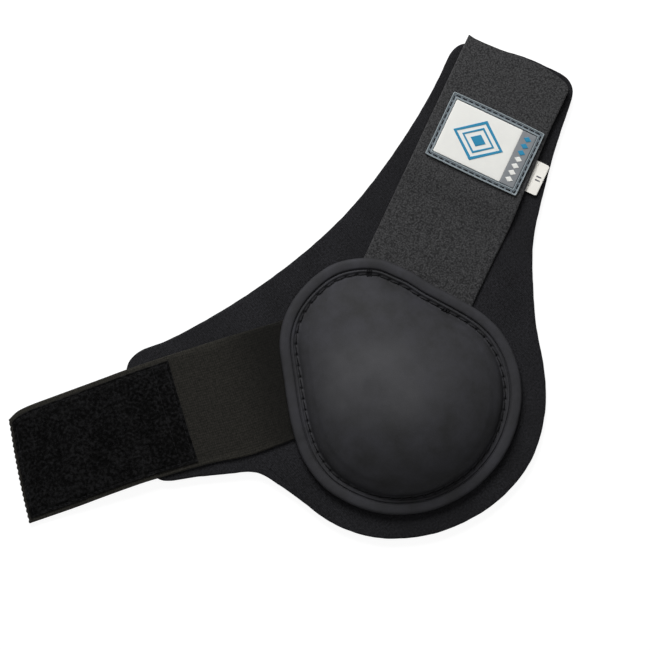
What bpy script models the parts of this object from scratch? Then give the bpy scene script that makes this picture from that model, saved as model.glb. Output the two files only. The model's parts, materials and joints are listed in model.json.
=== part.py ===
"""Fetlock boot for a horse's hind leg: a moulded cup sewn on a neoprene wrap, with two closing straps.

The boot lies flat with its outer face up: X across it, +Y up the leg, +Z away from the leg.
The design is drawn about the middle of the wrap's round lobe, and at the end the whole boot is set
with the middle of its footprint on the origin. Each wing is drawn in its own frame, whose X runs
out along the wing from the line where the wing folds round the leg.
"""

import math

import bmesh
import bpy
from mathutils import Matrix, Vector

# Gap between pieces that touch on the real boot, and how far a cutter runs past what it cuts
CLEARANCE = 0.0003
OVERRUN = 0.002

# Wrap sheet: layers
LINING = 0.0006
CORE = 0.0035
JERSEY = 0.0006

# Wrap sheet: outline, a round lobe under the cup with two wings that rise to both sides
LOBE_RADIUS = 0.071
TOP_EDGE_RADIUS = 0.290
TOP_EDGE_HEIGHT = 0.083
WING_CORNER = 0.008
WING_TAPER = math.radians(9)
WING_END_SLANT = math.radians(6)
FOLD_DISTANCE = 0.061
UPPER_WING_ANGLE = math.radians(24.8)
UPPER_WING_LENGTH = 0.1745
UPPER_WING_EDGE = 0.013
UPPER_WING_FILLET = 0.100
LOWER_WING_ANGLE = math.radians(159.3)
LOWER_WING_LENGTH = 0.1295
LOWER_WING_EDGE = 0.0025
LOWER_WING_FILLET = 0.030

# Cup shell: its rim outline is drawn in shares of half its width and half its length
CUP_WIDTH = 0.11606
CUP_LENGTH = 0.13028
CUP_MIDDLE = (-0.0014, 0.0058)
RIM_OUTLINE_SHARES = (
    (-0.144, 0.971), (-0.453, 0.822), (-0.674, 0.539), (-0.886, 0.212), (-0.988, -0.059),
    (-0.972, -0.345), (-0.785, -0.670), (-0.465, -0.898), (-0.085, -0.995), (0.260, -0.973),
    (0.559, -0.860), (0.815, -0.658), (0.973, -0.369), (0.981, -0.048), (0.795, 0.406),
    (0.728, 0.575), (0.567, 0.819), (0.253, 0.982),
)
DOME_HEIGHT = 0.0325
DOME_APEX = (-0.004, -0.007)
SHELL_WALL = 0.0025
BEAD_WIDTH = 0.0052
BEAD_HEIGHT = 0.0047
BEAD_FOOT_SHARE = 0.12
BEAD_SKIRT_SHARE = 0.20
BEAD_SPRING_SHARE = 0.45
BEAD_ARCH_SHARES = (0.08, 0.92)
GROOVE_WIDTH = 0.0009
RIDGE_WIDTH = 0.0011
RIDGE_HEIGHT = 0.0008
RIDGE_SHOULDER_SHARE = 0.75
SEAM_INSET = 0.0081
CHANNEL_END = 0.0092
POCKET_ROOF = 0.0012
FLANGE_END = 0.0125
DOME_STEEPNESS = 0.70
DOME_STEEPNESS_LEAN = 0.10
DOME_OUTSIDE_SHARES = (0.20, 0.38, 0.55, 0.70, 0.82, 0.91, 0.97)
DOME_INSIDE_SHARES = (1.00, 0.96, 0.88, 0.74, 0.52, 0.27)

# Padding and the hollow that takes the fetlock
PAD_THICKNESS = 0.005
PAD_EDGE = 0.0012
PAD_INSET = 0.0139
HOLLOW_INSET = 0.0165
HOLLOW_SOFTNESS = 1.15
PAD_SHARES = (0.27, 0.52, 0.74, 0.88, 0.96, 1.00)
HOLLOW_SHARES = (0.20, 0.40, 0.60, 0.78, 0.91, 1.00)

# Seam round the cup
TOP_THREAD_RADIUS = 0.00035
BOBBIN_RADIUS = 0.00025
BOBBIN_LIFT = 0.00005
SEAM_VALLEY_WIDTH = 0.0036
SEAM_VALLEY_DEPTH = 0.0009
SEAM_ALLOWANCE = 0.0115

# Upper strap: webbing with hooks under its end
UPPER_STRAP_WIDTH = 0.058
UPPER_STRAP_OFFSET = 0.0155
UPPER_STRAP_LENGTH = 0.1732
UPPER_STRAP_SKEW = 0.00125
UPPER_STRAP_CORNER = 0.006
UPPER_STRAP_THICKNESS = 0.0016
UPPER_RISE_START = 0.088
UPPER_RISE_END = 0.104
UPPER_PATCH_START = 0.106
UPPER_PATCH_END = 0.170
UPPER_PATCH_WIDTH = 0.050

# Lower strap: elastic webbing, narrower towards its tip, which droops past the wing
LOWER_STRAP_ROOT_WIDTH = 0.057
LOWER_STRAP_TIP_WIDTH = 0.052
LOWER_STRAP_ROOT_OFFSET = -0.0250
LOWER_STRAP_TIP_OFFSET = -0.0264
LOWER_STRAP_LENGTH = 0.1885
LOWER_STRAP_SKEW = 0.0025
LOWER_STRAP_THICKNESS = 0.0014
TIP_FOLD_DISTANCE = 0.1308
STRAP_TAIL_REACH = 0.020

# Both straps: how far past the fold they still bend with the wing, before they can be peeled off it
STRAP_BEND = 0.012

# Hook and loop patches
HOOK_THICKNESS = 0.0016
LOOP_THICKNESS = 0.0014
LOOP_START_DISTANCE = 0.1055
PATCH_MARGIN = 0.0022
LOWER_HOOK_DISTANCE = 0.139

# Badge: a rubber frame with two inset fields
BADGE_DISTANCE = 0.1272
BADGE_OFFSET = 0.0147
BADGE_WIDTH = 0.049
BADGE_HEIGHT = 0.0335
BADGE_THICKNESS = 0.0016
BADGE_BORDER = 0.003
BADGE_CORNER = 0.0012
BADGE_RECESS = 0.0009
FIELD_THICKNESS = 0.0006
FIELD_GAP = 0.0002
STRIP_WIDTH = 0.0102
BADGE_THREAD_RADIUS = 0.00022

# Size label: a folded ribbon sewn in under the strap's edge
LABEL_DISTANCE = 0.123
LABEL_LENGTH = 0.016
LABEL_REACH = 0.0052
LABEL_TAIL = 0.0032
LABEL_THICKNESS = 0.0006
LABEL_CORNER = 0.0012

# How finely the curves are drawn
RIM_POINTS = 64
ARC_STEPS = 6
TOP_EDGE_STEPS = 20
THREAD_SIDES = 1

# Heights of the sheet's layers at rest, and of what lies on them
CORE_BOTTOM = LINING + CLEARANCE
JERSEY_BOTTOM = CORE_BOTTOM + CORE + CLEARANCE
SEAT = JERSEY_BOTTOM + JERSEY + CLEARANCE
CHANNEL_FLOOR = SEAT + max(UPPER_STRAP_THICKNESS, LOWER_STRAP_THICKNESS) + CLEARANCE + POCKET_ROOF
PAD_TOP = DOME_HEIGHT - SHELL_WALL - 2 * CLEARANCE
HOLLOW_DEPTH = PAD_TOP - PAD_THICKNESS - SEAT
UPPER_STRAP_RAISED = SEAT + HOOK_THICKNESS + CLEARANCE
LOWER_STRAP_LOWEST = HOOK_THICKNESS + CLEARANCE


def clear_scene():
    for obj in list(bpy.data.objects):
        bpy.data.objects.remove(obj, do_unlink=True)


def make_collection(name):
    collection = bpy.data.collections.new(name)
    bpy.context.scene.collection.children.link(collection)
    return collection


def make_material(name, colour, roughness, metallic=0.0):
    material = bpy.data.materials.new(name)
    material.use_nodes = True
    shader = material.node_tree.nodes["Principled BSDF"]
    shader.inputs["Base Color"].default_value = (*colour, 1)
    shader.inputs["Roughness"].default_value = roughness
    shader.inputs["Metallic"].default_value = metallic
    return material


def make_empty(name, parent, place, turn=0.0):
    """A joint's frame: its origin lies on the joint's axis."""
    empty = bpy.data.objects.new(name, None)
    empty.location = place
    empty.rotation_euler.z = turn
    empty.parent = parent
    BOOT.objects.link(empty)
    return empty


def add_object(name, data, material, parent, collection=None):
    """Puts a mesh or a curve in the boot's collection, under the frame that it is drawn in."""
    obj = bpy.data.objects.new(name, data)
    if material:
        data.materials.append(material)
    obj.parent = parent
    (collection or BOOT).objects.link(obj)
    return obj


def mesh_from(bm, name, sharp_angle=math.radians(40)):
    mesh = bpy.data.meshes.new(name)
    bmesh.ops.recalc_face_normals(bm, faces=bm.faces)
    bm.to_mesh(mesh)
    bm.free()
    mesh.shade_smooth()
    mesh.set_sharp_from_angle(angle=sharp_angle)
    return mesh


def arc(centre, radius, start, end, steps):
    """Points along an arc, both ends included."""
    turns = [start + (end - start) * step / steps for step in range(steps + 1)]
    return [centre + radius * Vector((math.cos(turn), math.sin(turn))) for turn in turns]


def rounded_corner(before, corner, after, radius, steps=ARC_STEPS):
    """The arc that rounds a corner between two straight edges."""
    back, ahead = (before - corner).normalized(), (after - corner).normalized()
    half = back.angle(ahead) / 2
    centre = corner + (back + ahead).normalized() * radius / math.sin(half)
    start = corner + back * radius / math.tan(half) - centre
    end = corner + ahead * radius / math.tan(half) - centre
    turn = start.angle_signed(end)
    first = math.atan2(start.y, start.x)
    return arc(centre, radius, first, first - turn, steps)


def rounded_polygon(corners, radius, steps=ARC_STEPS):
    points = []
    for i, corner in enumerate(corners):
        after = corners[(i + 1) % len(corners)]
        points += rounded_corner(corners[i - 1], corner, after, radius, steps)
    return points


def rectangle(x_low, x_high, y_low, y_high):
    return [Vector(p) for p in ((x_low, y_low), (x_high, y_low), (x_high, y_high), (x_low, y_high))]


def smooth_loop(knots, steps=12):
    """A closed Catmull-Rom curve through the knots."""
    points = []
    count = len(knots)
    for i in range(count):
        a, b, c, d = (knots[(i + k) % count] for k in (-1, 0, 1, 2))
        for step in range(steps):
            t = step / steps
            points.append(
                0.5 * (2 * b + (c - a) * t + (2 * a - 5 * b + 4 * c - d) * t * t
                       + (3 * b - a - 3 * c + d) * t ** 3)
            )
    return points


def evenly_spaced(loop, count):
    """The closed loop again, as this many points at even distances."""
    closed = loop + [loop[0]]
    lengths = [0.0]
    for a, b in zip(closed, closed[1:]):
        lengths.append(lengths[-1] + (b - a).length)
    points = []
    piece = 0
    for i in range(count):
        goal = lengths[-1] * i / count
        while lengths[piece + 1] < goal:
            piece += 1
        share = (goal - lengths[piece]) / (lengths[piece + 1] - lengths[piece])
        points.append(closed[piece].lerp(closed[piece + 1], share))
    return points


def inset(loop, distance):
    """Each point of a closed loop moved inwards, square to the loop."""
    moved = []
    for i, point in enumerate(loop):
        along = (loop[(i + 1) % len(loop)] - loop[i - 1]).normalized()
        moved.append(point + distance * Vector((-along.y, along.x)))
    return moved


def clip(loop, start, direction):
    """What is left of a closed outline past the line through start that is square to direction."""
    kept = []
    for i, point in enumerate(loop):
        before = loop[i - 1]
        a, b = (before - start).dot(direction), (point - start).dot(direction)
        if (a < 0) != (b < 0):
            kept.append(before.lerp(point, a / (a - b)))
        if b >= 0:
            kept.append(point)
    return kept


def direction_of(angle):
    return Vector((math.cos(angle), math.sin(angle)))


def in_wing(points, angle):
    """Points of the boot's plan, in the frame of a wing."""
    turn = Matrix.Rotation(-angle, 2)
    return [turn @ (point - FOLD_DISTANCE * direction_of(angle)) for point in points]


def wing_lower_edge(angle, side, length, edge, fillet):
    """From the lobe to the wing's lower end corner: a hollow fillet, then a straight tapering edge.

    Drawn along the wing (x) and away from it on the leg's lower side (y), then turned into the plan.
    """
    along = Vector((math.cos(WING_TAPER), -math.sin(WING_TAPER)))
    away = Vector((math.sin(WING_TAPER), math.cos(WING_TAPER)))
    offset = away.dot(Vector((length, edge)))
    reach = math.sqrt((LOBE_RADIUS + fillet) ** 2 - (offset + fillet) ** 2)
    centre = away * (offset + fillet) + along * reach
    first = math.atan2(-centre.y, -centre.x)
    last = math.atan2(-away.y, -away.x)
    points = arc(centre, fillet, first, last, ARC_STEPS + 2) + [Vector((length, edge))]
    outward, down = direction_of(angle), direction_of(angle - side * math.pi / 2)
    return [point.x * outward + point.y * down for point in points]


def wing_top_corner(angle, side, low_corner):
    """Where the wing's end, which slants back from its lower corner, meets the concave top edge."""
    upwards = direction_of(angle + side * (math.pi / 2 + WING_END_SLANT))
    start = low_corner - TOP_EDGE_CENTRE
    b = start.dot(upwards)
    return low_corner + upwards * (-b - math.sqrt(b * b - start.length_squared + TOP_EDGE_RADIUS ** 2))


def sheet_outline():
    """The flat wrap, anticlockwise from the upper wing's lower end corner."""
    upper = wing_lower_edge(UPPER_WING_ANGLE, 1, UPPER_WING_LENGTH, UPPER_WING_EDGE, UPPER_WING_FILLET)
    lower = wing_lower_edge(LOWER_WING_ANGLE, -1, LOWER_WING_LENGTH, LOWER_WING_EDGE, LOWER_WING_FILLET)
    upper_top = wing_top_corner(UPPER_WING_ANGLE, 1, upper[-1])
    lower_top = wing_top_corner(LOWER_WING_ANGLE, -1, lower[-1])
    first, last = ((corner - TOP_EDGE_CENTRE) for corner in (upper_top, lower_top))
    top = arc(TOP_EDGE_CENTRE, TOP_EDGE_RADIUS, math.atan2(first.y, first.x), math.atan2(last.y, last.x),
              TOP_EDGE_STEPS)[1:-1]
    lobe_start, lobe_end = math.atan2(lower[0].y, lower[0].x), math.atan2(upper[0].y, upper[0].x)
    lobe = arc(Vector((0, 0)), LOBE_RADIUS, lobe_start - 2 * math.pi * (lobe_start > 0), lobe_end,
               TOP_EDGE_STEPS)[1:-1]
    return (
        rounded_corner(upper[-2], upper[-1], upper_top, WING_CORNER)
        + rounded_corner(upper[-1], upper_top, top[0], WING_CORNER)
        + top[1:-1]
        + rounded_corner(top[-1], lower_top, lower[-1], WING_CORNER)
        + rounded_corner(lower_top, lower[-1], lower[-2], WING_CORNER)
        + lower[-2::-1] + lobe + upper[:-1]
    )


def plate(name, outline, bottom, thickness, material, parent, collection=None):
    """A flat outline, extruded upwards."""
    curve = bpy.data.curves.new(name, "CURVE")
    curve.dimensions = "2D"
    curve.fill_mode = "BOTH"
    curve.extrude = thickness / 2
    spline = curve.splines.new("POLY")
    spline.points.add(len(outline) - 1)
    for target, point in zip(spline.points, outline):
        target.co = (point.x, point.y, 0, 1)
    spline.use_cyclic_u = True
    guide = bpy.data.objects.new(name, curve)
    BOOT.objects.link(guide)
    bpy.context.view_layer.update()
    mesh = bpy.data.meshes.new_from_object(guide.evaluated_get(bpy.context.evaluated_depsgraph_get()))
    bpy.data.objects.remove(guide)
    bm = bmesh.new()
    bm.from_mesh(mesh)
    bmesh.ops.remove_doubles(bm, verts=bm.verts, dist=CLEARANCE / 10)
    bmesh.ops.translate(bm, verts=bm.verts, vec=(0, 0, bottom + thickness / 2))
    bm.to_mesh(mesh)
    bm.free()
    return add_object(name, mesh, material, parent, collection)


def band(name, stations, thickness, material, parent, collection=None):
    """A strip of webbing, extruded upwards. Each station has its two edge points and its height."""
    bm = bmesh.new()
    rows = []
    for low, high, height in stations:
        rows.append([bm.verts.new((point[0], point[1], height)) for point in (low, high)])
    for row, following in zip(rows, rows[1:]):
        bm.faces.new((row[0], following[0], following[1], row[1]))
    top = bmesh.ops.extrude_face_region(bm, geom=bm.faces[:])["geom"]
    verts = [item for item in top if isinstance(item, bmesh.types.BMVert)]
    bmesh.ops.translate(bm, verts=verts, vec=(0, 0, thickness))
    return add_object(name, mesh_from(bm, name), material, parent, collection)


def loft(name, top, rings, bottom, material, parent):
    """A closed body through rings of equal counts, closed by a point at each end."""
    bm = bmesh.new()
    rows = [[bm.verts.new(point) for point in ring] for ring in rings]
    count = len(rows[0])
    for row, following in zip(rows, rows[1:]):
        for i in range(count):
            j = (i + 1) % count
            bm.faces.new((row[i], row[j], following[j], following[i]))
    for pole, row in ((bm.verts.new(top), rows[0]), (bm.verts.new(bottom), rows[-1])):
        for i in range(count):
            bm.faces.new((row[i], row[(i + 1) % count], pole))
    return add_object(name, mesh_from(bm, name), material, parent)


def tube(name, points, radius, material, parent):
    """A closed thread through the points."""
    curve = bpy.data.curves.new(name, "CURVE")
    curve.dimensions = "3D"
    curve.bevel_depth = radius
    curve.bevel_resolution = THREAD_SIDES
    spline = curve.splines.new("POLY")
    spline.points.add(len(points) - 1)
    for target, point in zip(spline.points, points):
        target.co = (*point, 1)
    spline.use_cyclic_u = True
    return add_object(name, curve, material, parent)


def cut(obj, cutter):
    modifier = obj.modifiers.new("cut_" + cutter.name, "BOOLEAN")
    modifier.object = cutter
    modifier.solver = "EXACT"


def hide_cutter(obj):
    obj.hide_render = True
    obj.display_type = "WIRE"
    return obj


def at_height(loop, height):
    return [(point.x, point.y, height) for point in loop]


def rim_loop():
    half = Vector((CUP_WIDTH / 2, CUP_LENGTH / 2))
    knots = [Vector(CUP_MIDDLE) + Vector((x * half.x, y * half.y)) for x, y in RIM_OUTLINE_SHARES]
    return evenly_spaced(smooth_loop(knots), RIM_POINTS)


def dome_rings(inset_distance, base, apex_height, ring_shares, exponent=None):
    """Rings of a dome from its foot to near its apex.

    At share r of the way from the apex to the foot, the height is (1 - r^2)^e of the whole. With
    the shell's own exponent, e is lower towards the leg's lower end, where the wall is steeper.
    """
    foot = inset(RIM, inset_distance)
    apex = Vector(DOME_APEX)
    rings = []
    for share in ring_shares:
        ring = []
        for point in foot:
            upward = (point - apex).normalized().y
            power = exponent or DOME_STEEPNESS + DOME_STEEPNESS_LEAN * upward
            place = apex.lerp(point, share)
            ring.append((place.x, place.y, base + (apex_height - base) * (1 - share ** 2) ** power))
        rings.append(ring)
    return rings


def shell_rim_profile():
    """Distances in from the rim's edge, and heights: bead, groove, ridge, stitch channel."""
    bead_top = CHANNEL_FLOOR + BEAD_HEIGHT - POCKET_ROOF - UPPER_STRAP_THICKNESS - CLEARANCE
    groove = BEAD_WIDTH + GROOVE_WIDTH / 2
    ridge = BEAD_WIDTH + GROOVE_WIDTH + RIDGE_WIDTH / 2
    ridge_top = CHANNEL_FLOOR + RIDGE_HEIGHT
    ridge_shoulder = CHANNEL_FLOOR + RIDGE_HEIGHT * RIDGE_SHOULDER_SHARE
    skirt = SEAT + (bead_top - SEAT) * BEAD_SKIRT_SHARE
    spring = SEAT + (bead_top - SEAT) * BEAD_SPRING_SHARE
    profile = [(BEAD_WIDTH * BEAD_FOOT_SHARE, SEAT), (0.0, skirt)]
    for turn in spread(*(math.pi * share for share in BEAD_ARCH_SHARES), ARC_STEPS):
        across = (1 - math.cos(turn)) / 2
        profile.append((BEAD_WIDTH * across, spring + (bead_top - spring) * math.sin(turn)))
    profile += [
        (groove, CHANNEL_FLOOR - GROOVE_WIDTH / 4),
        (ridge - RIDGE_WIDTH / 2, ridge_shoulder),
        (ridge, ridge_top),
        (ridge + RIDGE_WIDTH / 2, ridge_shoulder),
        (ridge + RIDGE_WIDTH, CHANNEL_FLOOR),
        (CHANNEL_END, CHANNEL_FLOOR),
    ]
    return profile


def build_cup_shell(material):
    """The moulded cap: a solid rim with a round bead, and an off-centre dome with an even wall."""
    outside = dome_rings(CHANNEL_END, CHANNEL_FLOOR, DOME_HEIGHT, DOME_OUTSIDE_SHARES)
    inside = dome_rings(FLANGE_END, SEAT, DOME_HEIGHT - SHELL_WALL, DOME_INSIDE_SHARES)
    rim = [at_height(inset(RIM, distance), height) for distance, height in reversed(shell_rim_profile())]
    apex = Vector(DOME_APEX)
    return loft("cup_shell", (*apex, DOME_HEIGHT), outside + rim + inside,
                (*apex, DOME_HEIGHT - SHELL_WALL), material, FRAME)


def build_pad(material):
    """Foam between the shell and the sheet, thicker at the shoulder than over the hollow."""
    top = dome_rings(PAD_INSET, SEAT + PAD_EDGE, PAD_TOP, PAD_SHARES)
    under = dome_rings(HOLLOW_INSET, SEAT, SEAT + HOLLOW_DEPTH, HOLLOW_SHARES, HOLLOW_SOFTNESS)
    edge = [at_height(inset(RIM, PAD_INSET), SEAT)]
    apex = Vector(DOME_APEX)
    return loft("cup_foam_pad", (*apex, PAD_TOP), top + edge + under[::-1],
                (*apex, SEAT + HOLLOW_DEPTH), material, FRAME)


def centre_boundary():
    """The middle of the sheet, between the two fold lines, as one point for each point of the rim."""
    outline = SHEET
    for angle in (UPPER_WING_ANGLE, LOWER_WING_ANGLE):
        outward = direction_of(angle)
        outline = clip(outline, (FOLD_DISTANCE - CLEARANCE / 2) * outward, -outward)
    apex = Vector(DOME_APEX)
    boundary = []
    for point in RIM:
        ray = (point - apex).normalized()
        hits = []
        for i, end in enumerate(outline):
            start = outline[i - 1]
            side, ahead = end - start, start - apex
            area = ray.x * side.y - ray.y * side.x
            if area == 0:
                continue
            distance = (ahead.x * side.y - ahead.y * side.x) / area
            share = (ahead.x * ray.y - ahead.y * ray.x) / area
            if distance > 0 and -1e-9 <= share <= 1 + 1e-9:
                hits.append(distance)
        boundary.append(apex + ray * min(hits))
    corners = [p for i, p in enumerate(outline) if turn_at(outline, i) > math.radians(30)]
    for corner in corners:
        nearest = min(range(RIM_POINTS), key=lambda i: (boundary[i] - apex).angle(corner - apex))
        boundary[nearest] = corner
    return boundary


def turn_at(loop, i):
    before, after = loop[i] - loop[i - 1], loop[(i + 1) % len(loop)] - loop[i]
    return before.angle(after)


def build_centre_layer(name, bottom, thickness, material, valley_bottom=0.0, valley_top=0.0):
    """A layer of the sheet's middle: flat round the cup, raised into it, and drawn up at the seam."""
    boundary = centre_boundary()
    half = SEAM_VALLEY_WIDTH / 2
    places = ((SEAM_INSET - half, 0.0), (SEAM_INSET, 1.0), (SEAM_INSET + half, 0.0))
    apex = Vector(DOME_APEX)
    sides = []
    for base, valley in ((bottom + thickness, valley_top), (bottom, valley_bottom)):
        rings = dome_rings(HOLLOW_INSET, base, base + HOLLOW_DEPTH, HOLLOW_SHARES, HOLLOW_SOFTNESS)
        if valley:
            rings += [at_height(inset(RIM, d), base + valley * share) for d, share in reversed(places)]
        rings.append(at_height(boundary, base))
        sides.append(rings)
    return loft(name, (*apex, bottom + thickness + HOLLOW_DEPTH), sides[0] + sides[1][::-1],
                (*apex, bottom + HOLLOW_DEPTH), material, FRAME)


def build_sheet(wings, materials):
    """Lining, neoprene and jersey, each split at the two fold lines."""
    layers = (
        ("inner_lining", 0.0, LINING, SEAM_VALLEY_DEPTH, SEAM_VALLEY_DEPTH),
        ("neoprene_core", CORE_BOTTOM, CORE, SEAM_VALLEY_DEPTH, 0.0),
        ("outer_jersey", JERSEY_BOTTOM, JERSEY, 0.0, 0.0),
    )
    for name, bottom, thickness, valley_bottom, valley_top in layers:
        material = materials[name]
        build_centre_layer(name + "_center", bottom, thickness, material, valley_bottom, valley_top)
        for wing_name, (frame, angle) in wings.items():
            outline = clip(in_wing(SHEET, angle), Vector((CLEARANCE / 2, 0)), Vector((1, 0)))
            plate(f"{name}_{wing_name}", outline, bottom, thickness, material, frame)


def upper_strap_edge(distance, side, width=UPPER_STRAP_WIDTH):
    """A point on the upper strap's edge, in the wing's frame; side is -1 down the leg, 1 up."""
    return Vector((distance - FOLD_DISTANCE, UPPER_STRAP_OFFSET + side * width / 2))


def lower_strap_edge(distance, side, margin=0.0):
    """The same for the lower strap, whose width falls evenly from the fold to the tip."""
    share = max((distance - FOLD_DISTANCE) / (LOWER_STRAP_LENGTH - FOLD_DISTANCE), 0)
    width = LOWER_STRAP_ROOT_WIDTH + (LOWER_STRAP_TIP_WIDTH - LOWER_STRAP_ROOT_WIDTH) * share
    offset = LOWER_STRAP_ROOT_OFFSET + (LOWER_STRAP_TIP_OFFSET - LOWER_STRAP_ROOT_OFFSET) * share
    return Vector((distance - FOLD_DISTANCE, offset + side * (width / 2 - margin)))


def seam_plug(name, distance, bottom, top):
    """A cutter that trims what lies further in from the rim than this."""
    return hide_cutter(plate(name, inset(RIM, distance), bottom, top - bottom, None, FRAME, CUTTERS))


def build_strap_base(name, edge, wing, thickness, material):
    """The strap's first stretch, from the fold line to where it can be peeled off the wing."""
    ends = (FOLD_DISTANCE + CLEARANCE / 2, FOLD_DISTANCE + STRAP_BEND - CLEARANCE / 2)
    band(name, [(edge(d, -1), edge(d, 1), SEAT) for d in ends], thickness, material, wing)


def build_strap_root(name, edge, frame, thickness, material, shell):
    """The strap's sewn end under the rim, and the pocket in the shell that it lies in."""
    ends = (STRAP_TAIL_REACH, FOLD_DISTANCE - CLEARANCE / 2)
    root = band(name, [(edge(d, -1), edge(d, 1), SEAT) for d in ends], thickness, material, frame)
    plug = seam_plug(name + "_trim", SEAM_ALLOWANCE, SEAT - OVERRUN, SEAT + thickness + OVERRUN)
    cut(root, plug)

    wide = Vector((0, CLEARANCE))
    ends = (STRAP_TAIL_REACH, FOLD_DISTANCE + OVERRUN)
    stations = [(edge(d, -1) - wide, edge(d, 1) + wide, SEAT - OVERRUN) for d in ends]
    pocket = band(name + "_pocket", stations, OVERRUN + thickness + CLEARANCE, None, frame, CUTTERS)
    deeper = seam_plug(name + "_pocket_trim", SEAM_ALLOWANCE + CLEARANCE, SEAT - 2 * OVERRUN,
                       SEAT + thickness + 2 * OVERRUN)
    cut(hide_cutter(pocket), deeper)
    cut(shell, pocket)
    return root


def eased(share):
    """A smooth step from 0 to 1."""
    share = min(max(share, 0.0), 1.0)
    return share * share * (3 - 2 * share)


def upper_strap_height(distance):
    rise = eased((distance - UPPER_RISE_START) / (UPPER_RISE_END - UPPER_RISE_START))
    return SEAT + (UPPER_STRAP_RAISED - SEAT) * rise


def lower_strap_height(distance):
    droop = eased((distance - TIP_FOLD_DISTANCE) / (LOWER_STRAP_LENGTH - TIP_FOLD_DISTANCE))
    return SEAT + (LOWER_STRAP_LOWEST - SEAT) * droop


def spread(start, end, steps):
    return [start + (end - start) * step / steps for step in range(steps + 1)]


def build_upper_strap(frame, material):
    """Webbing up to its free end, which lies a little skew and rises over its hooks."""
    lift = SEAT + UPPER_STRAP_THICKNESS
    shift = Vector((STRAP_BEND, 0))
    strap = make_empty("upper_strap_frame", frame, (*shift, lift))
    first = FOLD_DISTANCE + STRAP_BEND + CLEARANCE / 2
    distances = [first] + spread(UPPER_RISE_START, UPPER_RISE_END, ARC_STEPS)
    stations = [(upper_strap_edge(d, -1), upper_strap_edge(d, 1), upper_strap_height(d)) for d in distances]
    low_end = upper_strap_edge(UPPER_STRAP_LENGTH + UPPER_STRAP_SKEW, -1)
    high_end = upper_strap_edge(UPPER_STRAP_LENGTH - UPPER_STRAP_SKEW, 1)
    before = upper_strap_edge(UPPER_RISE_END, -1)
    for step, low in enumerate(rounded_corner(before, low_end, high_end, UPPER_STRAP_CORNER)):
        back = UPPER_STRAP_CORNER * (1 - step / ARC_STEPS)
        stations.append((low, high_end - Vector((back, 0)), UPPER_STRAP_RAISED))
    stations = [(low - shift, high - shift, height - lift) for low, high, height in stations]
    band("upper_strap", stations, UPPER_STRAP_THICKNESS, material, strap)
    return strap, shift, lift


def build_lower_strap(frame, materials):
    """Elastic webbing in two lengths, with loops on its outer face and hooks under its tip."""
    top = SEAT + LOWER_STRAP_THICKNESS
    strap = make_empty("lower_strap_frame", frame, (STRAP_BEND, 0, top))
    tip_start = TIP_FOLD_DISTANCE - FOLD_DISTANCE
    tip = make_empty("lower_strap_tip_frame", strap, (tip_start - STRAP_BEND, 0, SEAT - top))

    def lay(name, distances, raised, thickness, material, parent, origin, margin=0.0, skewed=False):
        stations = []
        for i, distance in enumerate(distances):
            skew = Vector((LOWER_STRAP_SKEW, 0)) * (skewed and i == len(distances) - 1)
            low = lower_strap_edge(distance, -1, margin) - skew - origin.to_2d()
            high = lower_strap_edge(distance, 1, margin) + skew - origin.to_2d()
            stations.append((low, high, lower_strap_height(distance) + raised - origin.z))
        return band(name, stations, thickness, material, parent)

    at_strap = Vector((STRAP_BEND, 0, top))
    at_tip = Vector((tip_start, 0, SEAT))
    ends = (FOLD_DISTANCE + STRAP_BEND + CLEARANCE / 2, TIP_FOLD_DISTANCE - CLEARANCE / 2)
    free = spread(TIP_FOLD_DISTANCE + CLEARANCE / 2, LOWER_STRAP_LENGTH, 2 * ARC_STEPS)
    lay("lower_strap", ends, 0, LOWER_STRAP_THICKNESS, materials["elastic"], strap, at_strap)
    lay("lower_strap_tip", free, 0, LOWER_STRAP_THICKNESS, materials["elastic"], tip, at_tip, skewed=True)
    on_top = LOWER_STRAP_THICKNESS + CLEARANCE
    loops = (LOOP_START_DISTANCE, TIP_FOLD_DISTANCE - CLEARANCE / 2)
    lay("loop_patch_inner", loops, on_top, LOOP_THICKNESS, materials["loops"], strap, at_strap, PATCH_MARGIN)
    patch_end = LOWER_STRAP_LENGTH - PATCH_MARGIN / 2
    loops = [min(distance, patch_end) for distance in free]
    lay("loop_patch_outer", loops, on_top, LOOP_THICKNESS, materials["loops"], tip, at_tip, PATCH_MARGIN,
        skewed=True)
    hooks = spread(LOWER_HOOK_DISTANCE, patch_end, 2 * ARC_STEPS)
    lay("lower_hook_patch", hooks, -CLEARANCE - HOOK_THICKNESS, HOOK_THICKNESS, materials["hooks"], tip,
        at_tip, PATCH_MARGIN, skewed=True)


def build_upper_hooks(strap, shift, lift, material):
    edges = [upper_strap_edge(d, side, UPPER_PATCH_WIDTH) - shift
             for d in (UPPER_PATCH_START, UPPER_PATCH_END) for side in (-1, 1)]
    outline = rectangle(edges[0].x, edges[2].x, edges[0].y, edges[1].y)
    plate("upper_hook_patch", outline, SEAT - lift, HOOK_THICKNESS, material, strap)


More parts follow.
